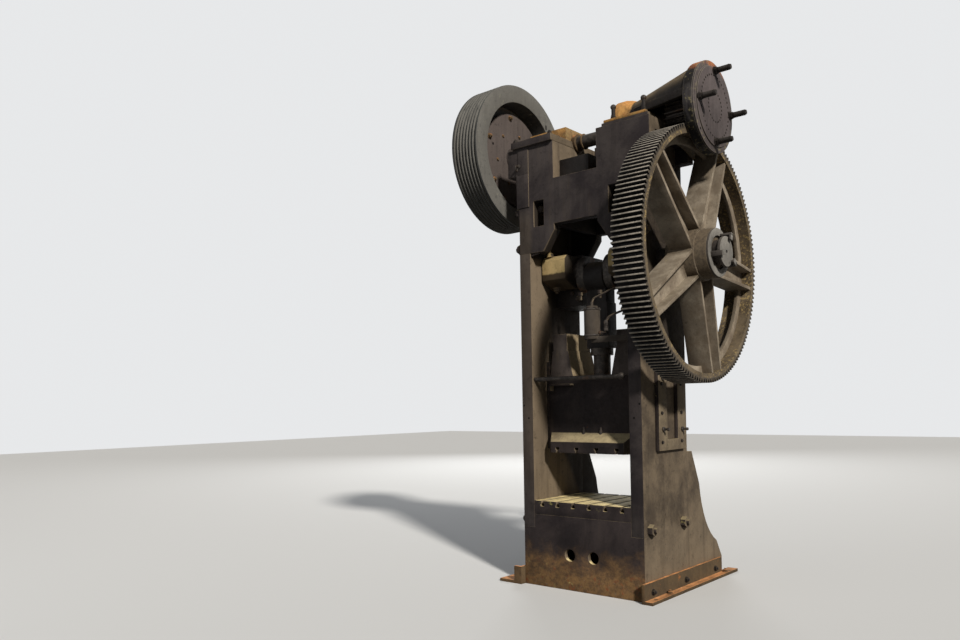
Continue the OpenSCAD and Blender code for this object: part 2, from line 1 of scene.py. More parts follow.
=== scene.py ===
"""Looks of the geared crank press: rounded castings, fasteners, finishes, light and camera.

Lengths are in metres in the part's own frame: X along the shafts, Y from front to back, Z up.
"""
import json
from math import cos, radians, sin, tau

import bmesh
import bpy
from mathutils import Matrix, Vector

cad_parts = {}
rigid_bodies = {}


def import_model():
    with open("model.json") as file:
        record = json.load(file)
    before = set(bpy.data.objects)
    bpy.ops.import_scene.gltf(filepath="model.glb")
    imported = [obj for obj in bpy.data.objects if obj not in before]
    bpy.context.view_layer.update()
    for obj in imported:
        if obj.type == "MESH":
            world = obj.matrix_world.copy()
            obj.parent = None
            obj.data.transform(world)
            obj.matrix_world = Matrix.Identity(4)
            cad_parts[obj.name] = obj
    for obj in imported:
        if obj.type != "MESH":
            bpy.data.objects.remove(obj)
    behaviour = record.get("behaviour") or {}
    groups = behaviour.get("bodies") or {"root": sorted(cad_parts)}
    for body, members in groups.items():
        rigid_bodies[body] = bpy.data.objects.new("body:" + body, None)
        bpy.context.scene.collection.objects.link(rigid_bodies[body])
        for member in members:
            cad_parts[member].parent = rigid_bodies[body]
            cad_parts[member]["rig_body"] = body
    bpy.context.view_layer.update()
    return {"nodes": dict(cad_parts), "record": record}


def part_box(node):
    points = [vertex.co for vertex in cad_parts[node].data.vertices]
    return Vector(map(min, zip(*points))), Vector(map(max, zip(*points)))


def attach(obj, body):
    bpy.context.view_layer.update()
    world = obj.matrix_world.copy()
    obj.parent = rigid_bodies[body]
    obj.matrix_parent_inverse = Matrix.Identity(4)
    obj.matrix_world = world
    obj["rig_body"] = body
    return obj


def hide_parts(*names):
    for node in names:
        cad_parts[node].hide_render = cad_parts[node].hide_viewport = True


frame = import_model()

# Places that the details share, worked out from the frame
low_upright, high_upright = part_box("right_upright")
low_gear, high_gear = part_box("gear_rim")
low_ring, high_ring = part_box("crank_end_ring")
low_drum, high_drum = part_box("brake_drum")
high_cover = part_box("brake_cover")[1]
high_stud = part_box("brake_studs")[1]
low_fly, high_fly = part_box("flywheel")
low_fly_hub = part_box("flywheel_hub")[0]
low_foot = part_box("right_foot")[0]
low_cap, high_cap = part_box("right_main_cap")
high_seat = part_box("right_shaft_seat")[1]
high_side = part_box("right_guide_cover")[1]
low_pump, high_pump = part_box("oil_pump")
FRONT = low_upright.y
SIDE = high_upright.x
INNER = low_upright.x
CRANK = Vector((0, (low_gear.y + high_gear.y) / 2, (low_gear.z + high_gear.z) / 2))
SHAFT = Vector((0, (low_drum.y + high_drum.y) / 2, (low_drum.z + high_drum.z) / 2))
GEAR_FACE = high_gear.x
DRUM_FACE = high_cover.x
FOOT_THICK = 0.025
FOOT_TOP = low_foot.z + FOOT_THICK
X_UP = (1, 0, 0)
X_DOWN = (-1, 0, 0)
Y_FRONT = (0, -1, 0)
Z_UP = (0, 0, 1)
Z_DOWN = (0, 0, -1)


def at(x, y, z):
    """A point, with y measured back from the front of the press."""
    return Vector((x, FRONT + y, z))


def round_shaft(centre, x, radius, degrees):
    """A point round a shaft, in degrees clockwise from the top as seen from the gear's side."""
    a = radians(degrees)
    return Vector((x, centre.y + radius * sin(a), centre.z + radius * cos(a)))


# Node helper

class Nodes:
    """Adds nodes to a material's tree and joins them up, one call for each node."""

    def __init__(self, name):
        self.material = bpy.data.materials.new(name)
        self.material.use_nodes = True
        self.tree = self.material.node_tree
        self.tree.nodes.clear()
        self.place = self.add("ShaderNodeTexCoord").outputs["Object"]

    def add(self, kind, **settings):
        node = self.tree.nodes.new(kind)
        for name, value in settings.items():
            setattr(node, name, value)
        return node

    def feed(self, socket, value):
        if isinstance(value, bpy.types.NodeSocket):
            self.tree.links.new(value, socket)
        else:
            socket.default_value = value

    def scaled(self, factors, shift=(0, 0, 0)):
        node = self.add("ShaderNodeMapping")
        self.feed(node.inputs["Vector"], self.place)
        node.inputs["Scale"].default_value = factors
        node.inputs["Location"].default_value = shift
        return node.outputs["Vector"]

    def noise(self, scale, detail=6, rough=0.6, factors=(1, 1, 1), shift=(0, 0, 0), twist=0.0):
        node = self.add("ShaderNodeTexNoise")
        self.feed(node.inputs["Vector"], self.scaled(factors, shift))
        node.inputs["Scale"].default_value = scale
        node.inputs["Detail"].default_value = detail
        node.inputs["Roughness"].default_value = rough
        node.inputs["Distortion"].default_value = twist
        return node.outputs["Fac"]

    def parts(self, vector):
        node = self.add("ShaderNodeSeparateXYZ")
        self.feed(node.inputs[0], vector)
        return node.outputs["X"], node.outputs["Y"], node.outputs["Z"]

    def facing(self):
        """How far a surface faces +X, +Y and +Z."""
        return self.parts(self.add("ShaderNodeNewGeometry").outputs["Normal"])

    def math(self, how, first, second=0.0):
        node = self.add("ShaderNodeMath", operation=how)
        self.feed(node.inputs[0], first)
        self.feed(node.inputs[1], second)
        return node.outputs[0]

    def span(self, value, low, high, to_low=0.0, to_high=1.0):
        """Where a value lies between low and high, as a number from to_low to to_high."""
        node = self.add("ShaderNodeMapRange", interpolation_type="SMOOTHSTEP")
        for key, number in zip(("Value", "From Min", "From Max", "To Min", "To Max"),
                               (value, low, high, to_low, to_high)):
            self.feed(node.inputs[key], number)
        return node.outputs["Result"]

    def blend(self, amount, first, second):
        node = self.add("ShaderNodeMix", data_type="RGBA")
        self.feed(node.inputs["Factor"], amount)
        self.feed(node.inputs["A"], first)
        self.feed(node.inputs["B"], second)
        return node.outputs["Result"]

    def reach(self, centre):
        """Distance from an axis that runs along X through a centre."""
        offset = self.add("ShaderNodeVectorMath", operation="MULTIPLY_ADD")
        self.feed(offset.inputs[0], self.place)
        offset.inputs[1].default_value = (0, 1, 1)
        offset.inputs[2].default_value = (0, -centre.y, -centre.z)
        length = self.add("ShaderNodeVectorMath", operation="LENGTH")
        self.feed(length.inputs[0], offset.outputs[0])
        return length.outputs["Value"]

    def finish(self, colour, rough, metal=0.0, bumps=()):
        """Ends the tree. Each bump is a height with its depth in metres."""
        shader = self.add("ShaderNodeBsdfPrincipled")
        self.feed(shader.inputs["Base Color"], colour)
        self.feed(shader.inputs["Roughness"], rough)
        self.feed(shader.inputs["Metallic"], metal)
        shader.inputs["Specular IOR Level"].default_value = 0.12
        normal = None
        for height, depth in bumps:
            bump = self.add("ShaderNodeBump")
            bump.inputs["Distance"].default_value = depth
            self.feed(bump.inputs["Height"], height)
            if normal is not None:
                self.feed(bump.inputs["Normal"], normal)
            normal = bump.outputs["Normal"]
        if normal is not None:
            self.feed(shader.inputs["Normal"], normal)
        out = self.add("ShaderNodeOutputMaterial")
        self.tree.links.new(shader.outputs["BSDF"], out.inputs["Surface"])
        return self.material


def rgb(red, green, blue):
    """A colour given as it is seen, from 0 to 255, turned into the linear values that a shader takes."""
    def linear(part):
        part /= 255
        return part / 12.92 if part <= 0.04045 else ((part + 0.055) / 1.055) ** 2.4
    return linear(red), linear(green), linear(blue), 1.0


def shade(colour, factor):
    """A colour made darker or lighter."""
    return [factor * part for part in colour[:3]] + [1.0]


# Finishes

EDGE = "rounded_edge"
RUST = rgb(132, 74, 38)
RUST_PALE = rgb(168, 110, 62)


def ground_rust(n, colour, fine, rust_low, toward_x, height):
    """Rust that thickens towards the ground, with brighter specks at the foot."""
    patch = n.noise(5.0, detail=12, rough=0.70, factors=(1, 1, 1.3), shift=(2, 9, 4), twist=0.3)
    wet = n.math("ADD", height, n.math("MULTIPLY", patch, -0.6))
    low = n.span(wet, rust_low - 0.55, rust_low - 0.92, 0.0, 0.9)
    front = n.span(n.math("ABSOLUTE", toward_x), 0.75, 0.25, 0.15, 1.0)
    tone = n.blend(n.span(n.noise(16, detail=10, rough=0.72), 0.36, 0.62),
                   rgb(102, 80, 57), rgb(138, 106, 69))
    blots = n.math("MULTIPLY", n.span(n.noise(12, detail=10, rough=0.72, shift=(1, 7, 3)), 0.55, 0.63),
                   n.span(height, 0.30, 0.10, 0.0, 0.8))
    tone = n.blend(blots, tone, rgb(138, 74, 44))
    specks = n.math("MULTIPLY", n.span(n.noise(26, detail=10, rough=0.74, shift=(7, 1, 5)), 0.56, 0.64),
                    n.span(height, 0.26, 0.04, 0.0, 0.8))
    tone = n.blend(specks, tone, n.blend(n.span(fine, 0.4, 0.6), rgb(150, 96, 54), rgb(120, 112, 98)))
    rusted = n.math("MULTIPLY", n.math("MULTIPLY", low, front), n.span(fine, 0.30, 0.55, 0.6, 1.0))
    return n.blend(rusted, colour, tone)


def throat_painted_shade(n, colour, soot_and_shade, across, back, height):
    """Painted shade in the throat, under the head and behind the gear wheel: these places are made darker."""
    deep = n.math("ADD", back, n.math("MULTIPLY", n.math("MINIMUM", height, 1.5), 0.55))
    inside = n.span(n.math("ABSOLUTE", across), INNER + 0.02, INNER + 0.005)
    throat = n.math("MULTIPLY", n.span(deep, 0.31, 0.40),
                    n.math("MULTIPLY", inside, n.span(height, 3.6, 3.4)))
    recess = n.math("MULTIPLY", n.span(back, FRONT + 0.008, FRONT + 0.02), n.span(height, 2.88, 2.92))
    recess = n.math("MULTIPLY", recess, n.math("MULTIPLY", inside, n.span(height, 3.42, 3.40)))
    behind = n.math("MULTIPLY", n.span(n.reach(CRANK), 0.98, 0.88), n.span(across, INNER, SIDE - 0.02))
    throat_shade = n.math("MAXIMUM", n.math("MAXIMUM", throat, recess), n.math("MULTIPLY", behind, 0.75))
    return n.blend(n.math("MULTIPLY", throat_shade, 0.85), colour, soot_and_shade)


def lichen_crust(n, colour, amount, tint):
    """Crusts of lichen, in patches."""
    crust = n.span(n.noise(19, detail=11, rough=0.76, shift=(9, 4, 1)), 0.60 - 0.10 * amount, 0.67)
    where = n.span(n.noise(1.7, detail=4, shift=(1, 8, 3)), 0.54 - 0.16 * amount, 0.62)
    return n.blend(n.math("MULTIPLY", n.math("MULTIPLY", crust, where), 0.75), colour, tint)


def weathered_iron(name, paint, worn, side, side_worn, top, rust_low=0.0, rust=0.0, settled=1.0,
                   streaks=0.5, lichen=0.0, lichen_colour=rgb(172, 160, 104), rough=0.78, grain=0.0010,
                   also=None):
    """Old painted iron. Its paint is dark, its flanks are bleached and dusty, and pale dust lies on top."""
    n = Nodes(name)
    toward_x, _, toward_z = n.facing()
    across, back, height = n.parts(n.place)
    rounded = n.add("ShaderNodeAttribute", attribute_name=EDGE).outputs["Fac"]
    # A darker tone of the paint: soot in streaks and specks, and painted shade in the throat
    soot_and_shade = shade(paint, 0.3)
    fine = n.noise(42, detail=9, rough=0.72)
    coarse = n.noise(1.9, detail=10, rough=0.66, twist=0.5)
    colour = n.blend(n.span(coarse, 0.38, 0.64), paint, worn)
    # Flanks, paler towards the ground
    bleached = n.span(n.noise(3.4, detail=9, rough=0.7, shift=(4, 7, 2)), 0.34, 0.66)
    flank_tone = n.blend(bleached, side, side_worn)
    flank_tone = n.blend(n.span(across, 0.0, -0.4, 0.0, 0.7), flank_tone, shade(side_worn, 1.25))
    flank = n.span(n.math("ABSOLUTE", toward_x), 0.45, 0.9)
    if rust_low:
        splash = n.span(n.math("ADD", height, n.math("MULTIPLY", coarse, 0.5)), 0.95, 0.45, 0.0, 0.6)
        flank_tone = n.blend(splash, flank_tone, shade(side_worn, 1.2))
    colour = n.blend(flank, colour, flank_tone)
    if rust_low:
        left = n.math("MULTIPLY", n.span(across, -0.44, -0.50), n.span(height, 0.5, 1.3, 0.0, 0.25))
        left = n.math("MULTIPLY", left, n.span(height, 3.4, 3.2))
        colour = n.blend(left, colour, side_worn)
    # Water has run down and left lighter and darker streaks
    run = n.noise(11, detail=7, rough=0.6, factors=(1, 1, 0.07))
    patchy = n.span(n.noise(2.3, detail=5, shift=(3, 1, 2)), 0.42, 0.62)
    washed = n.math("MULTIPLY", n.math("MULTIPLY", n.span(run, 0.52, 0.68), patchy), 0.7 * streaks)
    colour = n.blend(washed, colour, side)
    colour = n.blend(n.math("MULTIPLY", n.span(run, 0.47, 0.36), 0.5 * streaks), colour, soot_and_shade)
    # Specks of dust and of dirt
    colour = n.blend(n.span(fine, 0.56, 0.76, 0.0, 0.35), colour, side)
    blotch = n.noise(13, detail=10, rough=0.72, shift=(8, 3, 6))
    colour = n.blend(n.span(blotch, 0.44, 0.30, 0.0, 0.5), colour, soot_and_shade)
    colour = n.blend(n.span(fine, 0.46, 0.28, 0.0, 0.6), colour, soot_and_shade)
    if settled:
        dust = n.math("MULTIPLY", n.span(toward_z, 0.35, 0.85),
                      n.span(fine, 0.25, 0.55, 0.55 * settled, settled))
        dust = n.math("MULTIPLY", dust, n.span(rounded, 0.0, 1.0, 1.0, 0.35))
        dusty = n.blend(n.span(n.noise(8, detail=8), 0.36, 0.66, 0.0, 0.6), top, side_worn)
        colour = n.blend(dust, colour, dusty)
    if rust:
        spots = n.span(n.noise(6.5, detail=11, rough=0.74, shift=(5, 2, 7)),
                       0.68 - 0.16 * rust, 0.76 - 0.10 * rust)
        colour = n.blend(n.math("MULTIPLY", spots, min(1.0, 0.45 + rust)), colour,
                         n.blend(n.span(fine, 0.4, 0.62), RUST, RUST_PALE))
    if rust_low:
        colour = ground_rust(n, colour, fine, rust_low, toward_x, height)
        # Painted shade: darker in the throat, in the recess under the head and behind the gear wheel
        colour = throat_painted_shade(n, colour, soot_and_shade, across, back, height)
    if lichen:
        colour = lichen_crust(n, colour, lichen, lichen_colour)
    if also:
        colour = also(n, colour, fine)
    # The paint is rubbed off along the rounded edges
    rubbed = n.math("MULTIPLY", rounded,
                    n.span(n.noise(9, detail=9, rough=0.7, shift=(6, 6, 1)), 0.42, 0.62, 0.0, 0.45))
    colour = n.blend(rubbed, colour, side_worn)
    cast = n.noise(190, detail=4, rough=0.6)
    waves = n.noise(6, detail=3, rough=0.5)
    pits = n.span(n.noise(64, detail=7, rough=0.76, shift=(2, 2, 2)), 0.28, 0.50)
    roughness = n.span(fine, 0.3, 0.7, rough - 0.12, rough + 0.12)
    return n.finish(colour, roughness, bumps=((waves, 4 * grain), (pits, 1.3 * grain), (cast, 0.5 * grain)))


def frame_paint():
    return weathered_iron("dark_frame_paint", rgb(42, 37, 38), rgb(66, 60, 58), rgb(72, 63, 53),
                          rgb(110, 97, 80), rgb(168, 152, 112), rust_low=0.62, rust=0.03, streaks=0.45)


def bed_paint():
    return weathered_iron("rusting_bed_paint", rgb(34, 29, 30), rgb(54, 47, 46), rgb(72, 63, 53),
                          rgb(110, 97, 80), rgb(232, 212, 156), rust_low=0.66, rust=0.05, streaks=0.45,
                          lichen=0.3, lichen_colour=rgb(186, 176, 110))


def dusty_paint():
    return weathered_iron("dusty_worn_paint", rgb(44, 38, 37), rgb(66, 58, 54), rgb(92, 81, 67),
                          rgb(124, 111, 91), rgb(142, 128, 98), rust=0.1, streaks=0.4, lichen=0.1)


def pump_paint():
    return weathered_iron("grey_pump_paint", rgb(52, 47, 43), rgb(74, 67, 60), rgb(58, 52, 46),
                          rgb(78, 70, 61), rgb(112, 100, 80), streaks=0.4)


def ram_paint_darkened_as_shade():
    # Painted shade: the ram's paint is made near black, with dust on its tops
    return weathered_iron("ram_paint_darkened_as_painted_shade", rgb(32, 28, 28), rgb(52, 45, 43), rgb(66, 58, 50),
                          rgb(96, 84, 69), rgb(196, 178, 138), rust=0.05, streaks=0.35)


def horn_paint():
    return weathered_iron("grey_horn_paint", rgb(62, 55, 52), rgb(84, 76, 71), rgb(118, 104, 82),
                          rgb(140, 124, 98), rgb(150, 134, 104), streaks=0.35)


def cap_paint():
    def painted_shade_foot(n, colour, fine):
        height = n.parts(n.place)[2]
        line = low_cap.z + 0.45 * (high_cap.z - low_cap.z)
        ragged = n.math("ADD", height, n.math("MULTIPLY", fine, 0.03))
        # Painted shade: below a ragged line at under half the cap's height, the cap is made dark brown
        foot_shade = n.span(ragged, line + 0.022, line + 0.004, 0.0, 0.94)
        return n.blend(foot_shade, colour, rgb(44, 36, 30))
    return weathered_iron("yellowed_cap_paint", rgb(146, 128, 88), rgb(182, 158, 112), rgb(40, 35, 30),
                          rgb(66, 58, 48), rgb(172, 152, 108), rust=0.15, streaks=0.3, lichen=0.3,
                          also=painted_shade_foot)


def oily_iron():
    return weathered_iron("oily_black_iron", rgb(24, 21, 20), rgb(40, 36, 34), rgb(38, 34, 31),
                          rgb(54, 48, 43), rgb(84, 74, 58), settled=0.4, streaks=0.3, rough=0.58)


def bracket_paint():
    # Painted shade: the bracket's paint is made near black, with dust on its tops
    return weathered_iron("bracket_paint_darkened_as_painted_shade", rgb(24, 21, 20), rgb(38, 34, 31), rgb(28, 25, 23),
                          rgb(62, 55, 48), rgb(134, 117, 93), rust=0.1, streaks=0.3)


def rusty_iron():
    return weathered_iron("rusted_iron", rgb(78, 62, 46), rgb(106, 84, 58), rgb(68, 57, 44),
                          rgb(90, 74, 54), rgb(218, 154, 102), rust=0.6, streaks=0.3, rough=0.84,
                          grain=0.0016)


def lichen_iron():
    return weathered_iron("lichen_grown_iron", rgb(84, 68, 50), rgb(184, 138, 80), rgb(88, 72, 54),
                          rgb(142, 116, 80), rgb(214, 152, 88), rust=0.7, lichen=1.0,
                          lichen_colour=rgb(182, 168, 106), rough=0.88, grain=0.0026)


def wheel_paint():
    return weathered_iron("grey_green_wheel_paint", rgb(58, 58, 57), rgb(80, 80, 77), rgb(70, 68, 65),
                          rgb(98, 96, 91), rgb(108, 106, 97), settled=0.25, rust=0.1, streaks=0.5, lichen=0.4,
                          lichen_colour=rgb(136, 134, 118))


def hub_disc_paint():
    return weathered_iron("brown_disc_paint", rgb(52, 47, 45), rgb(70, 63, 60), rgb(58, 53, 51),
                          rgb(80, 72, 68), rgb(90, 82, 72), settled=0.25, rust=0.2, streaks=0.4)


def gear_paint():
    def grime_and_shaded_hub(n, colour, fine):
        grime = n.span(n.noise(5.5, detail=9, rough=0.7, shift=(4, 4, 4)), 0.40, 0.62, 0.0, 0.6)
        colour = n.blend(grime, colour, rgb(92, 80, 66))
        # Painted shade: towards the crank's axis, inside about 0.3 m, the hub is made darker
        return n.blend(n.span(n.reach(CRANK), 0.30, 0.22, 0.0, 0.8), colour,
                       n.blend(n.span(fine, 0.35, 0.62), rgb(64, 55, 46), rgb(96, 84, 68)))
    return weathered_iron("bleached_gear_paint", rgb(100, 91, 79), rgb(140, 129, 113), rgb(116, 104, 90),
                          rgb(160, 148, 130), rgb(156, 143, 121), settled=0.3, rust=0.12, streaks=0.2,
                          lichen=0.3, lichen_colour=rgb(158, 144, 110), also=grime_and_shaded_hub)


def end_paint():
    return weathered_iron("grey_end_disc_paint", rgb(76, 71, 67), rgb(104, 99, 93), rgb(106, 103, 98),
                          rgb(134, 130, 123), rgb(132, 124, 110), settled=0.2, rust=0.15, streaks=0.2)


def drum_paint(name, face, rust_from):
    """The brake's drum: taupe paint, painted shade on the faces turned away from +X, and orange rust over its
    top.
    """
    n = Nodes(name)
    fine = n.noise(46, detail=9, rough=0.72)
    colour = n.blend(n.span(n.noise(2.6, detail=9, rough=0.68, twist=0.4), 0.36, 0.64),
                     shade(face, 0.72), shade(face, 1.3))
    toward_x = n.facing()[0]
    # Painted shade: faces that do not face +X, the drum's rim among them, are made near black
    colour = n.blend(n.span(toward_x, 0.6, 0.1), colour, rgb(24, 22, 21))
    streak = n.span(n.noise(10, detail=7, factors=(1, 1, 0.1)), 0.50, 0.68, 0.0, 0.4)
    colour = n.blend(streak, colour, shade(face, 1.9))
    colour = n.blend(n.span(fine, 0.45, 0.27, 0.0, 0.6), colour, rgb(34, 29, 28))
    height = n.parts(n.place)[2]
    edge = n.math("ADD", height, n.math("MULTIPLY", n.noise(9, detail=10, rough=0.72), 0.22))
    rust = n.span(edge, rust_from, rust_from + 0.10)
    colour = n.blend(rust, colour, n.blend(n.span(fine, 0.38, 0.62), rgb(140, 78, 46), rgb(176, 114, 74)))
    lichen = n.span(n.noise(24, detail=10, rough=0.75, shift=(3, 3, 3)), 0.52, 0.64)
    rim = n.span(n.reach(SHAFT), 0.30, 0.35)
    colour = n.blend(n.math("MULTIPLY", n.math("MULTIPLY", lichen, rim), 0.7), colour, rgb(140, 130, 96))
    rubbed = n.add("ShaderNodeAttribute", attribute_name=EDGE).outputs["Fac"]
    colour = n.blend(n.math("MULTIPLY", rubbed, 0.5), colour, rgb(112, 104, 98))
    return n.finish(colour, n.span(fine, 0.3, 0.7, 0.65, 0.9),
                    bumps=((n.noise(7, detail=3), 0.003), (n.noise(180, detail=4), 0.0005)))


def tooth_steel():
    """Cut teeth: worn grey on the tips, and near black on the flanks and between them."""
    n = Nodes("tooth_steel_with_dark_flanks")
    fine = n.noise(30, detail=8, rough=0.7)
    radius = n.reach(CRANK)
    tip = high_gear.z - CRANK.z
    toward_x = n.facing()[0]
    ends = n.span(n.math("ABSOLUTE", toward_x), 0.6, 0.9)
    flank_black = n.blend(n.span(fine, 0.4, 0.65), rgb(11, 10, 10), rgb(24, 21, 20))
    end_tone = n.blend(n.span(fine, 0.4, 0.62), rgb(58, 52, 45), rgb(86, 78, 66))
    colour = n.blend(ends, flank_black, end_tone)
    colour = n.blend(n.span(radius, tip - 0.0020, tip - 0.0004), colour,
                     n.blend(n.span(fine, 0.35, 0.6), rgb(112, 106, 97), rgb(156, 148, 136)))
    # The rim's inside, dusty brown with lichen towards the ground
    crust = n.span(n.noise(44, detail=10, rough=0.75), 0.50, 0.62)
    where = n.span(n.noise(1.6, detail=4, shift=(2, 3, 1)), 0.38, 0.56, 0.15, 1.0)
    inside = n.blend(n.span(n.noise(5, detail=9, rough=0.7), 0.36, 0.64), rgb(70, 61, 50), rgb(102, 90, 73))
    inside = n.blend(n.math("MULTIPLY", n.math("MULTIPLY", crust, where), 0.8), inside, rgb(176, 152, 102))
    colour = n.blend(n.span(radius, tip - 0.036, tip - 0.044), colour, inside)
    return n.finish(colour, n.span(fine, 0.3, 0.7, 0.5, 0.78), bumps=((n.noise(90, detail=5), 0.0008),))


def bare_steel():
    n = Nodes("dull_bare_steel")
    fine = n.noise(24, detail=8, rough=0.7)
    turned = n.noise(60, detail=2, factors=(8, 0.6, 0.6))
    colour = n.blend(n.span(fine, 0.4, 0.62), rgb(50, 46, 43), rgb(74, 68, 63))
    colour = n.blend(n.span(n.noise(6, detail=8), 0.55, 0.68), colour, rgb(80, 58, 42))
    return n.finish(colour, n.span(turned, 0.3, 0.7, 0.42, 0.64), metal=0.3, bumps=((turned, 0.0004),))


def plain_dark(name, tone):
    n = Nodes(name)
    fine = n.noise(50, detail=6)
    return n.finish(n.blend(n.span(fine, 0.35, 0.65), shade(tone, 0.6), tone), 0.8)


PAINT = frame_paint()
BED = bed_paint()
DUSTY = dusty_paint()
RAM_DARKENED_AS_SHADE = ram_paint_darkened_as_shade()
CAP = cap_paint()
HORN = horn_paint()
PUMP = pump_paint()
BRACKET = bracket_paint()
OILY = oily_iron()
RUSTY = rusty_iron()
LICHEN = lichen_iron()
WHEEL = wheel_paint()
HUB_DISC = hub_disc_paint()
GEAR = gear_paint()
END = end_paint()
DRUM = drum_paint("taupe_cover_paint", rgb(78, 71, 70), high_drum.z + 0.03)
DRUM_RIM = drum_paint("rusted_drum_paint", rgb(78, 74, 74), high_drum.z - 0.03)
TEETH = tooth_steel()
STEEL = bare_steel()
# Painted shade: near black, for dark discs and strips that stand for the shade inside holes and under edges
PAINTED_SHADE = plain_dark("painted_shade_in_holes_and_lines", rgb(14, 11, 10))
SLOT_FINISH = {
    "frame_iron": PAINT, "dusty_iron": DUSTY, "oily_iron": OILY, "rusty_iron": RUSTY,
    "flywheel_iron": WHEEL, "worn_steel": STEEL,
}
NODE_FINISH = {
    "bed_front_plate": BED, "bed_rear_plate": BED, "bed_table": BED, "tie_bolts": DUSTY,
    "gear_rim": TEETH, "gear_spider": GEAR, "crank_end_ring": END, "left_shaft_cap": LICHEN,
    "right_shaft_cap": LICHEN, "brake_cover": DRUM, "brake_drum": DRUM_RIM, "ram": RAM_DARKENED_AS_SHADE,
    "left_main_bearing": OILY, "right_main_bearing": OILY, "left_main_cap": CAP, "right_main_cap": CAP,
    "flywheel_hub": HUB_DISC, "valley_box": OILY, "ram_horns": HORN, "oil_pump": PUMP,
    "brake_bracket": BRACKET,
}
SLOT_OF = {s["node"]: s["material_slot"] for s in frame["record"]["subparts"]}


def finish_of(node):
    return NODE_FINISH.get(node, SLOT_FINISH[SLOT_OF[node]])


def put_on(piece, material):
    piece.data.materials.clear()
    piece.data.materials.append(material)


# Shapes

def smooth_but_edges(mesh, angle=35):
    """Shades a mesh smooth, with its corners over the angle left crisp."""
    shape = bmesh.new()
    shape.from_mesh(mesh)
    for face in shape.faces:
        face.smooth = True
    for edge in shape.edges:
        edge.smooth = len(edge.link_faces) == 2 and edge.calc_face_angle() < radians(angle)
    shape.to_mesh(mesh)
    shape.free()


def axes_to(direction):
    """A turn that takes +Z to a direction."""
    return Vector(direction).normalized().to_track_quat("Z", "Y").to_matrix().to_4x4()


def add_turned(shape, origin, direction, profile, sides=24):
    """A body of revolution. The profile is a list of (distance along the direction, radius)."""
    place = Matrix.Translation(origin) @ axes_to(direction)
    rings = []
    for along, radius in profile:
        if radius <= 0:
            rings.append([shape.verts.new(place @ Vector((0, 0, along)))])
        else:
            rings.append([shape.verts.new(place @ Vector((radius * cos(tau * k / sides),
                                                          radius * sin(tau * k / sides), along)))
                          for k in range(sides)])
    for near, far in zip(rings, rings[1:]):
        for k in range(sides):
            j = (k + 1) % sides
            if len(near) == 1 and len(far) > 1:
                shape.faces.new((near[0], far[j], far[k]))
            elif len(far) == 1 and len(near) > 1:
                shape.faces.new((near[k], near[j], far[0]))
            elif len(near) > 1:
                shape.faces.new((near[k], near[j], far[j], far[k]))
    if len(rings[0]) > 1:
        shape.faces.new(rings[0][::-1])
    if len(rings[-1]) > 1:
        shape.faces.new(rings[-1])


def add_hex(shape, origin, direction, radius, height):
    """A nut or a bolt head with its upper corners turned off."""
    place = Matrix.Translation(origin) @ axes_to(direction)
    rings = []
    for along, r in ((0, radius * 0.96), (height * 0.08, radius), (height * 0.82, radius),
                     (height, radius * 0.84)):
        corners = [tau * k / 6 for k in range(6)]
        rings.append([shape.verts.new(place @ Vector((r * cos(a), r * sin(a), along))) for a in corners])
    for near, far in zip(rings, rings[1:]):
        for k in range(6):
            j = (k + 1) % 6
            shape.faces.new((near[k], near[j], far[j], far[k]))
    shape.faces.new(rings[0][::-1])
    shape.faces.new(rings[-1])


def add_block(shape, low, high, edge=0.0, segments=2):
    made = bmesh.ops.create_cube(shape, size=1.0)["verts"]
    middle, size = (Vector(low) + Vector(high)) / 2, Vector(high) - Vector(low)
    for vert in made:
        vert.co = Vector([middle[k] + vert.co[k] * size[k] for k in range(3)])
    if edge:
        edges = {e for v in made for e in v.link_edges}
        bmesh.ops.bevel(shape, geom=list(edges), offset=edge, segments=segments, profile=0.5, affect="EDGES")


def add_hoop(shape, centre, direction, radius, thick, sides=32, around=12):
    """A round bar bent to a ring."""
    place = Matrix.Translation(centre) @ axes_to(direction)
    rings = []
    for k in range(sides):
        a = tau * k / sides
        ring = []
        for j in range(around):
            out = radius + thick * cos(tau * j / around)
            spot = Vector((out * cos(a), out * sin(a), thick * sin(tau * j / around)))
            ring.append(shape.verts.new(place @ spot))
        rings.append(ring)
    for near, far in zip(rings, rings[1:] + rings[:1]):
        for j in range(around):
            i = (j + 1) % around
            shape.faces.new((near[j], far[j], far[i], near[i]))


def add_pipe(shape, points, radius, sides=12):
    """A bent pipe through points, with round corners."""
    points = [Vector(p) for p in points]
    path = [points[0]]
    for before, here, after in zip(points, points[1:], points[2:]):
        cut = min(4 * radius, (here - before).length / 2, (after - here).length / 2)
        start, end = here + (before - here).normalized() * cut, here + (after - here).normalized() * cut
        path += [start.lerp(here, t).lerp(here.lerp(end, t), t) for t in (0, 0.25, 0.5, 0.75, 1)]
    path.append(points[-1])
    rings = []
    side = None
    for k, spot in enumerate(path):
        ahead = (path[min(k + 1, len(path) - 1)] - path[max(k - 1, 0)]).normalized()
        side = ahead.orthogonal() if side is None else side - ahead * side.dot(ahead)
        side.normalize()
        other = ahead.cross(side)
        turns = [tau * j / sides for j in range(sides)]
        rings.append([shape.verts.new(spot + radius * (side * cos(a) + other * sin(a))) for a in turns])
    for near, far in zip(rings, rings[1:]):
        for j in range(sides):
            i = (j + 1) % sides
            shape.faces.new((near[j], near[i], far[i], far[j]))
    shape.faces.new(rings[0][::-1])
    shape.faces.new(rings[-1])


def thread(length, radius, pitch):
    """A threaded bar's profile, with a turned ridge for each pitch and a cut-off tip."""
    profile = [(0, radius)]
    for k in range(int((length - pitch) / pitch)):
        along = k * pitch
        profile += [(along + 0.25 * pitch, radius), (along + 0.5 * pitch, radius * 0.86),
                    (along + pitch, radius)]
    return profile + [(length - 0.3 * pitch, radius), (length, radius * 0.8)]


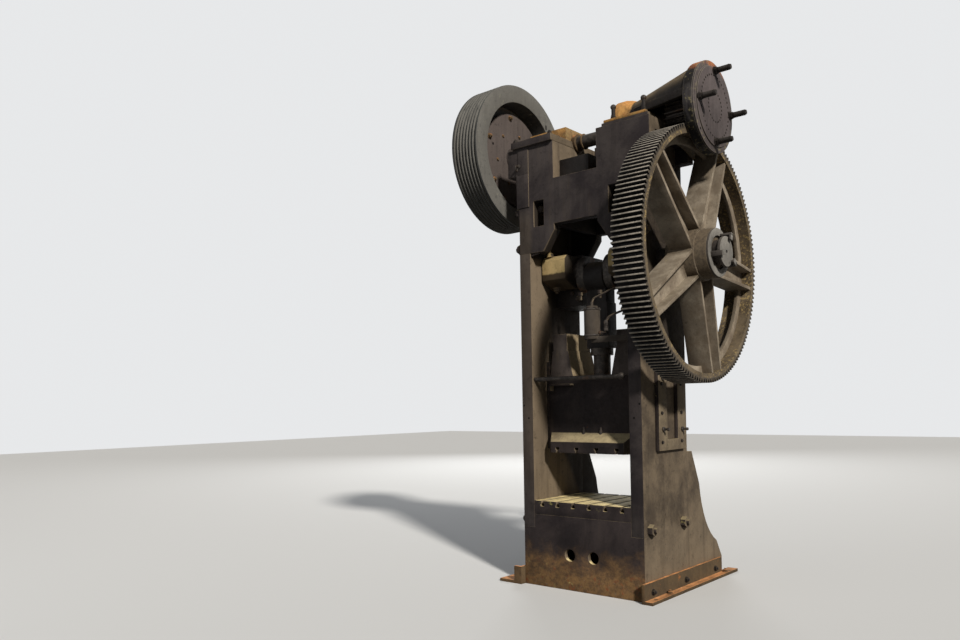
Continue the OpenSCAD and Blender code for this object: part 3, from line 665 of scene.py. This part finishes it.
def make(name, build, material, body):
    """A new piece from a function that adds shapes to a bmesh."""
    shape = bmesh.new()
    build(shape)
    bmesh.ops.recalc_face_normals(shape, faces=shape.faces)
    mesh = bpy.data.meshes.new(name)
    shape.to_mesh(mesh)
    shape.free()
    return settle(name, mesh, material, body)


def settle(name, mesh, material, body):
    """A piece from a mesh, with its finish, on its body."""
    smooth_but_edges(mesh)
    piece = bpy.data.objects.new(name, mesh)
    bpy.context.scene.collection.objects.link(piece)
    put_on(piece, material)
    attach(piece, body)
    return piece


# Castings

def rounded_casting(node, edge, segments=2, angle=28):
    """A node's solid with its edges rounded, as a mould or a file leaves them. It stands for the node."""
    source = frame["nodes"][node]
    shape = bmesh.new()
    shape.from_mesh(source.data)
    bmesh.ops.remove_doubles(shape, verts=shape.verts, dist=2e-5)
    bmesh.ops.dissolve_limit(shape, angle_limit=radians(0.5), verts=shape.verts, edges=shape.edges)
    corners = [e for e in shape.edges if len(e.link_faces) == 2 and e.calc_face_angle() > radians(angle)]
    mark = shape.faces.layers.float.new(EDGE)
    made = bmesh.ops.bevel(shape, geom=corners, offset=edge, segments=segments, profile=0.5, affect="EDGES",
                           clamp_overlap=True)
    for face in made["faces"]:
        face[mark] = 1.0
    bmesh.ops.triangulate(shape, faces=[f for f in shape.faces if len(f.verts) > 4])
    mesh = bpy.data.meshes.new(node + "_casting")
    shape.to_mesh(mesh)
    shape.free()
    piece = settle(node + "_casting", mesh, finish_of(node), source["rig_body"])
    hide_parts(node)
    return piece


EDGES = {
    "left_upright": 0.004, "right_upright": 0.004, "left_rear_leg": 0.004, "right_rear_leg": 0.004,
    "left_foot": 0.004, "right_foot": 0.004, "bed_front_plate": 0.002, "bed_rear_plate": 0.003,
    "bed_table": 0.002, "head_front_plate": 0.005, "head_rear_plate": 0.005, "left_pedestal": 0.003,
    "right_pedestal": 0.003, "valley_box": 0.006, "left_main_bearing": 0.006, "right_main_bearing": 0.006,
    "left_main_cap": 0.008, "right_main_cap": 0.008, "left_guide_cover": 0.004, "right_guide_cover": 0.004,
    "oil_pump": 0.003, "left_shaft_seat": 0.005, "right_shaft_seat": 0.005, "left_shaft_cap": 0.010,
    "right_shaft_cap": 0.006, "brake_bracket": 0.004, "brake_drum": 0.004, "brake_cover": 0.005,
    "gear_spider": 0.005, "crank_end_ring": 0.004, "connecting_rod": 0.006, "ram": 0.004, "ram_horns": 0.006,
    "flywheel": 0.004, "flywheel_hub": 0.004, "gear_rim": 0.0012,
}
for node, thing in frame["nodes"].items():
    put_on(thing, finish_of(node))
    if node in EDGES:
        rounded_casting(node, EDGES[node], segments=1 if node == "gear_rim" else 2)
    else:
        for face in thing.data.polygons:
            face.use_smooth = False


# Fasteners, placed by Geometry Nodes

def fastener(kind, radius, height, washer=0.0, tail=0.0):
    """A loose fastener that points up +Z. It is only a pattern for the copies."""
    shape = bmesh.new()
    zero = Vector((0, 0, 0))
    if washer:
        add_turned(shape, zero, Z_UP, [(-0.002, radius * 1.25), (washer, radius * 1.25)], 28)
    base = Vector((0, 0, washer))
    if kind == "hex":
        add_hex(shape, base, Z_UP, radius, height)
    elif kind == "rivet":
        add_turned(shape, zero, Z_UP, [(-0.001, radius), (0, radius)]
                   + [(height * sin(a), radius * cos(a)) for a in (0.35, 0.75, 1.15)] + [(height, 0)], 14)
    elif kind == "ball_nut":
        add_turned(shape, base, Z_UP, [(0, radius * 0.62)]
                   + [(height / 2 * (1 + sin(a)), radius * cos(a)) for a in (-0.9, -0.5, 0.0, 0.4, 0.8, 1.2)]
                   + [(height, 0)], 24)
    if tail:
        add_turned(shape, base, Z_UP, thread(height + tail, radius * 0.52, radius * 0.16), 18)
    bmesh.ops.recalc_face_normals(shape, faces=shape.faces)
    mesh = bpy.data.meshes.new(kind)
    shape.to_mesh(mesh)
    shape.free()
    smooth_but_edges(mesh)
    pattern = bpy.data.objects.new(kind + "_pattern", mesh)
    bpy.context.scene.collection.objects.link(pattern)
    return pattern


def build_placer():
    """Puts a copy of a pattern on every point, turned to face one way and spun at random."""
    group = bpy.data.node_groups.new("place_fasteners", "GeometryNodeTree")
    sockets = {}
    for name, kind in (("Points", "NodeSocketGeometry"), ("Pattern", "NodeSocketObject"),
                       ("Facing", "NodeSocketVector"), ("Spin", "NodeSocketFloat"),
                       ("Finish", "NodeSocketMaterial")):
        sockets[name] = group.interface.new_socket(name, in_out="INPUT", socket_type=kind).identifier
    group.interface.new_socket("Fasteners", in_out="OUTPUT", socket_type="NodeSocketGeometry")

    def node(kind, **links):
        made = group.nodes.new(kind)
        for key, value in links.items():
            socket = made.inputs[key.replace("_", " ")]
            if isinstance(value, bpy.types.NodeSocket):
                group.links.new(value, socket)
            else:
                socket.default_value = value
        return made

    given = group.nodes.new("NodeGroupInput").outputs
    pattern = node("GeometryNodeObjectInfo", Object=given["Pattern"])
    aim = group.nodes.new("FunctionNodeAlignRotationToVector")
    aim.axis = "Z"
    group.links.new(given["Facing"], aim.inputs["Vector"])
    spread = node("GeometryNodeInstanceOnPoints", Points=given["Points"],
                  Instance=pattern.outputs["Geometry"], Rotation=aim.outputs["Rotation"])
    chance = group.nodes.new("FunctionNodeRandomValue")
    chance.data_type = "FLOAT"
    group.links.new(given["Spin"], next(s for s in chance.inputs if s.name == "Max" and s.enabled))
    turn = node("ShaderNodeCombineXYZ", Z=next(s for s in chance.outputs if s.enabled))
    spun = node("GeometryNodeRotateInstances", Instances=spread.outputs["Instances"],
                Rotation=turn.outputs[0])
    solid = node("GeometryNodeRealizeInstances", Geometry=spun.outputs[0])
    dressed = node("GeometryNodeSetMaterial", Geometry=solid.outputs[0], Material=given["Finish"])
    out = group.nodes.new("NodeGroupOutput")
    group.links.new(dressed.outputs[0], out.inputs[0])
    return group, sockets


PLACER, SOCKETS = build_placer()


def set_out(name, pattern, points, facing, material, body, spin=tau):
    """Copies of a pattern at all the points, joined to one piece."""
    mesh = bpy.data.meshes.new(name + "_points")
    mesh.from_pydata([tuple(p) for p in points], [], [])
    holder = bpy.data.objects.new(name + "_points", mesh)
    bpy.context.scene.collection.objects.link(holder)
    modifier = holder.modifiers.new("place", "NODES")
    modifier.node_group = PLACER
    for key, value in (("Pattern", pattern), ("Facing", Vector(facing)), ("Spin", float(spin)),
                       ("Finish", material)):
        modifier[SOCKETS[key]] = value
    holder.update_tag()
    seen = holder.evaluated_get(bpy.context.evaluated_depsgraph_get())
    made = bpy.data.meshes.new_from_object(seen)
    bpy.data.objects.remove(holder)
    return settle(name, made, material, body)


BIG_NUT = fastener("hex", 0.030, 0.026, washer=0.005, tail=0.016)
NUT = fastener("hex", 0.021, 0.018, washer=0.004, tail=0.010)
SMALL_HEAD = fastener("hex", 0.013, 0.010, washer=0.002)
BALL_NUT = fastener("ball_nut", 0.025, 0.046)
RIVET = fastener("rivet", 0.0085, 0.005)
PATTERNS = (BIG_NUT, NUT, SMALL_HEAD, BALL_NUT, RIVET)


def dress_brake():
    inner_circle, inner_rivets = 0.122, 24
    outer_circle, outer_rivets = 0.252, 40
    stud_circle = 0.288
    set_out("cover_rivets", RIVET,
            [round_shaft(SHAFT, DRUM_FACE, inner_circle, 360 * k / inner_rivets) for k in range(inner_rivets)]
            + [round_shaft(SHAFT, DRUM_FACE, outer_circle, 360 * (k + 0.5) / outer_rivets)
               for k in range(outer_rivets)],
            X_UP, OILY, "frame", spin=0.0)
    length = high_stud.x - DRUM_FACE

    def studs(shape):
        for k in range(4):
            root = round_shaft(SHAFT, DRUM_FACE, stud_circle, 90 * k)
            add_turned(shape, root, X_UP, [(-0.002, 0.036), (0.006, 0.036)], 28)
            add_turned(shape, root, X_UP, [(0.02, 0.021), (0.034, 0.024), (0.040, 0.024)]
                       + [(0.040 + 0.0075 * j + d, 0.024 if d else 0.0205)
                          for j in range(11) for d in (0, 0.0045)]
                       + [(length - 0.014, 0.024), (length - 0.006, 0.020), (length - 0.0005, 0.019)], 20)
    make("stud_threads", studs, OILY, "frame")

    # Painted shade: a dark disc stands for a hole in the drum's cover
    def hole(shape):
        add_turned(shape, round_shaft(SHAFT, DRUM_FACE - 0.0135, 0.342, 227), X_UP,
                   [(0, 0.010), (0.001, 0.010)], 20)
    make("drum_hole", hole, PAINTED_SHADE, "frame")


def dress_bearings():
    seat_top = high_seat.z
    sole = seat_top + 0.022
    # Studs with ball nuts hold the right cap and the bracket's foot
    spots = [at(x, y, sole) for x, y in ((0.31, 0.145), (0.605, 0.130), (0.31, 0.640), (0.605, 0.650))]

    def studs(shape):
        for spot in spots:
            add_turned(shape, spot, Z_UP,
                       [(-0.001, 0.030), (0.006, 0.030), (0.007, 0.017), (0.098, 0.017)], 24)
    make("right_cap_studs", studs, OILY, "frame")
    set_out("right_cap_nuts", BALL_NUT, [p + Vector((0, 0, 0.086)) for p in spots], Z_UP, STEEL,
            "frame")
    set_out("right_cap_lock_nuts", NUT, [p + Vector((0, 0, 0.008)) for p in spots], Z_UP, OILY,
            "frame")
    set_out("left_cap_nuts", BIG_NUT,
            [at(-x, y, seat_top) for x in (0.30, 0.55) for y in (0.20, 0.58)], Z_UP, RUSTY,
            "frame")
    set_out("seat_nuts", NUT, [at(-x, y, seat_top) for x in (0.25, 0.625) for y in (0.0, 0.78)], Z_UP, OILY,
            "frame")

    def collars(shape):
        for x, r, w in ((-0.215, 0.080, 0.040), (-0.14, 0.070, 0.016), (0.215, 0.078, 0.028)):
            add_turned(shape, Vector((x - w / 2, SHAFT.y, SHAFT.z)), X_UP,
                       [(0, r - 0.006), (0.004, r), (w - 0.004, r), (w, r - 0.006)], 48)
    make("shaft_collars", collars, RUSTY, "drive")

    # The main caps' studs, with a nut above and a nut and a threaded end below
    set_out("main_cap_nuts", BIG_NUT, [at(side * 0.397, 0.190, high_cap.z) for side in (-1, 1)], Z_UP, CAP,
            "frame")
    set_out("main_cap_lower_nuts", BIG_NUT, [at(side * 0.350, 0.215, low_cap.z) for side in (-1, 1)],
            Z_DOWN, CAP, "frame")

    def rod_bolts(shape):
        for side in (-1, 1):
            spot = at(side * 0.100, 0.215, 2.552)
            add_turned(shape, spot, Z_DOWN, [(-0.02, 0.020), (0.010, 0.020), (0.012, 0.013), (0.046, 0.013),
                                             (0.050, 0.010)], 20)
    make("big_end_bolts", rod_bolts, DUSTY, "rod")

    def plugs(shape):
        for side in (-1, 1):
            add_turned(shape, at(side * 0.222, 0.392, 2.545), Y_FRONT,
                       [(0, 0.030), (0.012, 0.032), (0.014, 0.024), (0.034, 0.024), (0.046, 0.016),
                        (0.050, 0)], 24)
            add_turned(shape, at(side * 0.300, 0.392, 2.60), Y_FRONT,
                       [(0, 0.018), (0.020, 0.018), (0.024, 0)], 20)
    make("bearing_plugs", plugs, DUSTY, "frame")


def dress_frame():
    # Plates with cut-back lower parts stand a little proud at the uprights' upper ends
    def cheeks(shape):
        for wide, low_z, high_z in ((0.620, 3.358, 3.660), (SIDE, 3.655, 3.898)):
            add_block(shape, at(-wide, -0.007, low_z), at(-INNER - 0.001, 0.010, high_z), 0.002)
            add_block(shape, at(-wide, 0.770, low_z), at(-INNER - 0.001, 0.787, high_z), 0.002)
    make("head_cheeks", cheeks, PAINT, "frame")

    # Painted shadow: a thin dark band round each upright at the height of the cheek plates' lower edge
    def cheek_shadow_lines(shape):
        for side in (-1, 1):
            x = sorted((side * INNER, side * (SIDE + 0.0006)))
            add_block(shape, at(x[0], -0.0008, 3.353), at(x[1], 0.7808, 3.3575))
    make("upright_joints", cheek_shadow_lines, PAINTED_SHADE, "frame")

    def eye(shape):
        add_turned(shape, at(-0.590, -0.006, 3.737), Y_FRONT,
                   [(-0.004, 0.020), (0.010, 0.020), (0.014, 0.012), (0.034, 0.011)], 20)
        add_hoop(shape, at(-0.590, -0.040, 3.716), (1, 0.3, 0), 0.024, 0.0065)
    make("lifting_eye", eye, STEEL, "frame")

    def strip_hooks(shape):
        for side in (-1, 1):
            add_hoop(shape, at(side * 0.470, 0.020, 2.945), Y_FRONT, 0.024, 0.008)
            add_pipe(shape, [at(side * 0.492, 0.020, 2.950), at(side * 0.440, 0.020, 2.925),
                             at(side * 0.398, 0.020, 2.935)], 0.008)
    make("strip_hooks", strip_hooks, DUSTY, "frame")

    # Painted shade: dark discs stand for tapped holes in the uprights' fronts and an oil hole by the gear's
    # face
    def dark_holes(shape):
        for side in (-1, 1):
            for x, z in ((0.582, 1.585), (0.530, 1.472)):
                add_turned(shape, at(side * x, 0.0003, z), Y_FRONT, [(0, 0.009), (0.001, 0.009)], 18)
        add_turned(shape, at(GEAR_FACE - 0.001, 0.216, 2.829), X_UP, [(0, 0.010), (0.0016, 0.010)], 18)
    make("tapped_holes", dark_holes, PAINTED_SHADE, "frame")

    outer = SIDE + FOOT_THICK
    for side, word, facing in ((1, "right", X_UP), (-1, "left", X_DOWN)):
        set_out(word + "_foot_bolts", NUT, [at(side * outer, y, 0.075) for y in (0.08, 0.659, 1.238)],
                facing, OILY, "frame")
        set_out(word + "_foot_nuts", NUT, [at(side * 0.66, y, FOOT_TOP) for y in (0.30, 1.38)], Z_UP, RUSTY,
                "frame")

    def window_pins(shape):
        for side in (-1, 1):
            add_turned(shape, at(side * 0.418, 0.125, 3.335), Y_FRONT,
                       [(-0.10, 0.020), (0.02, 0.020), (0.025, 0.030), (0.055, 0.030), (0.065, 0.018),
                        (0.068, 0)], 24)
            add_turned(shape, at(side * 0.360, 0.150, 3.26), Y_FRONT,
                       [(-0.10, 0.014), (0.03, 0.014), (0.034, 0)], 20)
    make("window_pins", window_pins, DUSTY, "frame")


def dress_guides():
    x = high_side.x
    lowest_row, row_step = 1.265, 0.241
    rows = [lowest_row + row_step * k for k in range(3)]
    for side, word, facing in ((1, "right", X_UP), (-1, "left", X_DOWN)):
        set_out(word + "_cover_screws", SMALL_HEAD,
                [at(side * x, y, z) for y in (0.265, 0.609) for z in rows], facing, OILY,
                "frame")

        def pins(shape):
            for y, z in ((0.282, 1.372), (0.620, 1.365), (0.282, 1.798), (0.620, 1.798)):
                root = at(side * (x - 0.001), y, z)
                add_hex(shape, root, facing, 0.022, 0.016)
                add_turned(shape, root, facing,
                           [(0.012, 0.0095), (0.038, 0.0095), (0.040, 0.013), (0.056, 0.013), (0.060, 0.008)],
                           18)
        make(word + "_guide_pins", pins, STEEL, "frame")


def dress_pump():
    pump_x, y = 0.088, 0.10
    pipe_x, outlet = 0.224, 2.190
    bolt_circle = 0.058

    def pipes(shape):
        add_pipe(shape, [at(0.15, y, outlet), at(pipe_x, y, outlet), at(pipe_x, y, 2.305),
                         at(0.30, y + 0.02, 2.345), at(INNER + 0.005, y + 0.05, 2.40)], 0.010)
        add_pipe(shape, [at(pump_x, y, 2.45), at(pump_x, y + 0.02, 2.49), at(0.25, y + 0.06, 2.56),
                         at(INNER + 0.005, y + 0.09, 2.60)], 0.008)
    make("oil_pipes", pipes, DUSTY, "frame")

    def unions(shape):
        for spot, way in ((at(0.157, y, outlet), X_UP), (at(pipe_x, y, 2.205), Z_UP),
                          (at(pipe_x, y, 2.262), Z_UP)):
            add_hex(shape, spot, way, 0.020, 0.022)
            add_turned(shape, spot, way, [(0.020, 0.015), (0.034, 0.015)], 18)
        for k in range(5):
            add_hoop(shape, at(pipe_x, y, 2.228 + 0.008 * k), Z_UP, 0.014, 0.004, 20, 8)
        for z in (high_pump.z - 0.075, low_pump.z + 0.055):
            add_turned(shape, at(pump_x, y, z), Z_UP,
                       [(0, 0.071), (0.004, 0.0735), (0.012, 0.0735), (0.016, 0.071)], 40)
    make("oil_unions", unions, STEEL, "frame")
    set_out("pump_bolts", SMALL_HEAD,
            [at(pump_x + bolt_circle * cos(a), y + bolt_circle * sin(a), high_pump.z - 0.0625)
             for a in (0.4, 1.45, 2.5, 3.54, 4.6, 5.64)], Z_UP, OILY, "frame")


def dress_crank_end():
    ring = low_ring.x
    disc = high_ring.x

    def clamps(shape):
        for turn in (18, 128, 258):
            arm = bmesh.new()
            add_block(arm, (ring + 0.016, -0.020, 0.136), (disc + 0.029, 0.020, 0.156), 0.003)
            add_block(arm, (disc + 0.011, -0.020, 0.098), (disc + 0.029, 0.020, 0.150), 0.003)
            add_turned(arm, (disc, 0, 0.112), X_UP, [(-0.001, 0.010), (0.014, 0.010)], 14)
            place = Matrix.Translation((0, CRANK.y, CRANK.z)) @ Matrix.Rotation(-radians(turn), 4, "X")
            bmesh.ops.transform(arm, matrix=place, verts=arm.verts)
            loose = bpy.data.meshes.new("clamp")
            arm.to_mesh(loose)
            arm.free()
            shape.from_mesh(loose)
    make("end_disc_clamps", clamps, END, "crank")

    # Painted shade: a dark disc at the end disc's centre
    def centre(shape):
        add_turned(shape, Vector((disc, CRANK.y, CRANK.z)), X_UP, [(-0.0002, 0.013), (0.0006, 0.013)], 18)
    make("end_disc_centre", centre, PAINTED_SHADE, "crank")


def dress_flywheel():
    disc_recess, bolt_circle, inner_circle = 0.103, 0.400, 0.258
    disc = high_fly.x - disc_recess
    set_out("disc_bolts", NUT, [round_shaft(SHAFT, disc, bolt_circle, 60 * k - 8) for k in range(6)],
            X_UP, RUSTY, "flywheel")
    set_out("disc_inner_bolts", SMALL_HEAD,
            [round_shaft(SHAFT, disc, inner_circle, 60 * k + 20) for k in range(6)],
            X_UP, RUSTY, "flywheel")

    # Painted shade: dark discs and a dark slot stand for holes in the flywheel
    def holes(shape):
        add_turned(shape, round_shaft(SHAFT, disc, 0.330, -74), X_UP, [(0, 0.012), (0.001, 0.012)], 18)
        spot = round_shaft(SHAFT, high_fly.x - 0.0005, 0.560, 45)
        add_block(shape, spot - Vector((0, 0.010, 0.022)), spot + Vector((0.001, 0.010, 0.022)))
        tread = SHAFT.y - (high_fly.z - SHAFT.z) + 0.001
        add_turned(shape, Vector((low_fly.x + 0.014, tread, SHAFT.z)), Y_FRONT,
                   [(0, 0.008), (0.0016, 0.008)], 18)
    make("flywheel_holes", holes, PAINTED_SHADE, "flywheel")

    def hub(shape):
        add_turned(shape, Vector((low_fly_hub.x + 0.001, SHAFT.y, SHAFT.z)), X_DOWN,
                   [(0, 0.076), (0.012, 0.076), (0.016, 0.070), (0.028, 0.062)], 40)
    make("flywheel_lock_ring", hub, STEEL, "flywheel")


def dress_ram():
    def bracket(shape):
        add_block(shape, at(-0.41, 0.140, 1.756), at(-0.18, 0.203, 1.771), 0.003)
        add_block(shape, at(-0.41, 0.140, 1.712), at(-0.395, 0.203, 1.765), 0.003)
    make("ram_bracket", bracket, DUSTY, "ram")

    def bolts(shape):
        for x in (-0.079, 0.094):
            root = at(x, 0.195, 1.345)
            add_turned(shape, root, Z_UP,
                       [(-0.02, 0.014), (0.014, 0.014), (0.016, 0.010), (0.040, 0.010), (0.044, 0.007)], 18)
    make("flange_bolts", bolts, STEEL, "ram")


dress_brake()
dress_bearings()
dress_frame()
dress_guides()
dress_pump()
dress_crank_end()
dress_flywheel()
dress_ram()
for pattern in PATTERNS:
    bpy.data.objects.remove(pattern)


# Stage, light and camera

def lay_floor():
    bpy.ops.mesh.primitive_plane_add(size=60, location=(0, 0, low_foot.z - 0.0005))
    floor = bpy.context.object
    floor.name = "studio_floor"
    n = Nodes("pale_floor")
    rays = n.add("ShaderNodeLightPath").outputs
    shown = n.math("MAXIMUM", rays["Is Camera Ray"], n.math("MAXIMUM", rays["Is Glossy Ray"],
                                                            rays["Is Transmission Ray"]))
    put_on(floor, n.finish(n.blend(shown, (0.16, 0.16, 0.155, 1), (0.64, 0.64, 0.63, 1)), 0.9))


def light_studio():
    world = bpy.data.worlds.new("studio")
    bpy.context.scene.world = world
    world.use_nodes = True
    tree = world.node_tree
    tree.nodes.clear()
    sky = tree.nodes.new("ShaderNodeBackground")
    sky.inputs["Color"].default_value = (0.84, 0.87, 0.92, 1)
    sky.inputs["Strength"].default_value = 0.13
    seen = tree.nodes.new("ShaderNodeBackground")
    seen.inputs["Color"].default_value = (0.80, 0.81, 0.82, 1)
    seen.inputs["Strength"].default_value = 1.0
    rays = tree.nodes.new("ShaderNodeLightPath")
    pick = tree.nodes.new("ShaderNodeMixShader")
    out = tree.nodes.new("ShaderNodeOutputWorld")
    shown = rays.outputs["Is Camera Ray"]
    for kind in ("Is Glossy Ray", "Is Transmission Ray"):
        either = tree.nodes.new("ShaderNodeMath")
        either.operation = "MAXIMUM"
        tree.links.new(shown, either.inputs[0])
        tree.links.new(rays.outputs[kind], either.inputs[1])
        shown = either.outputs[0]
    tree.links.new(shown, pick.inputs["Fac"])
    tree.links.new(sky.outputs[0], pick.inputs[1])
    tree.links.new(seen.outputs[0], pick.inputs[2])
    tree.links.new(pick.outputs[0], out.inputs["Surface"])
    sun = aim("SUN", "key_from_the_right", (8.0, -4.5, 5.72), (0, 0, 0), 4.2, (1.0, 0.96, 0.90))
    sun.angle = radians(5)
    fill = aim("AREA", "fill_from_the_front", (-5.0, -9.0, 4.0), (0.0, -0.2, 2.0), 90, (0.9, 0.95, 1.0))
    fill.size = 5.0
    back = aim("AREA", "light_from_behind", (-10.0, 13.0, 8.0), (0.0, 0.0, 2.2), 850, (0.95, 0.97, 1.0))
    back.size = 6.0


def aim(kind, name, place, target, energy, colour):
    lamp = bpy.data.lights.new(name, kind)
    lamp.energy = energy
    lamp.color = colour
    thing = bpy.data.objects.new(name, lamp)
    thing.location = place
    thing.rotation_euler = (Vector(place) - Vector(target)).to_track_quat("Z", "Y").to_euler()
    bpy.context.scene.collection.objects.link(thing)
    return lamp


# The photograph's camera: its place, its turns in degrees, its focal length and its axis in pixels
EYE = Vector((3.7868, -6.4633, 1.6))
HEADING, PITCH, ROLL = 40.5819, 1.3204, -0.9345
IMAGE_W, IMAGE_H = 960, 640
FOCAL_PX = 800.05
AXIS_V = 386.14
SENSOR = 36.0


def set_camera():
    a, b, r = radians(HEADING), radians(PITCH), radians(ROLL)
    ahead = Vector((-sin(a) * cos(b), cos(a) * cos(b), sin(b)))
    level = Vector((cos(a), sin(a), 0))
    above = level.cross(ahead)
    right = level * cos(r) + above * sin(r)
    up = above * cos(r) - level * sin(r)
    camera = bpy.data.objects.new("photo_camera", bpy.data.cameras.new("photo_camera"))
    camera.matrix_world = Matrix.Translation(EYE) @ Matrix((right, up, -ahead)).transposed().to_4x4()
    camera.data.sensor_width = SENSOR
    camera.data.lens = FOCAL_PX * SENSOR / IMAGE_W
    camera.data.shift_y = (AXIS_V - IMAGE_H / 2) / IMAGE_W
    bpy.context.scene.collection.objects.link(camera)
    bpy.context.scene.camera = camera


lay_floor()
light_studio()
set_camera()
bpy.context.scene.view_settings.view_transform = "Standard"
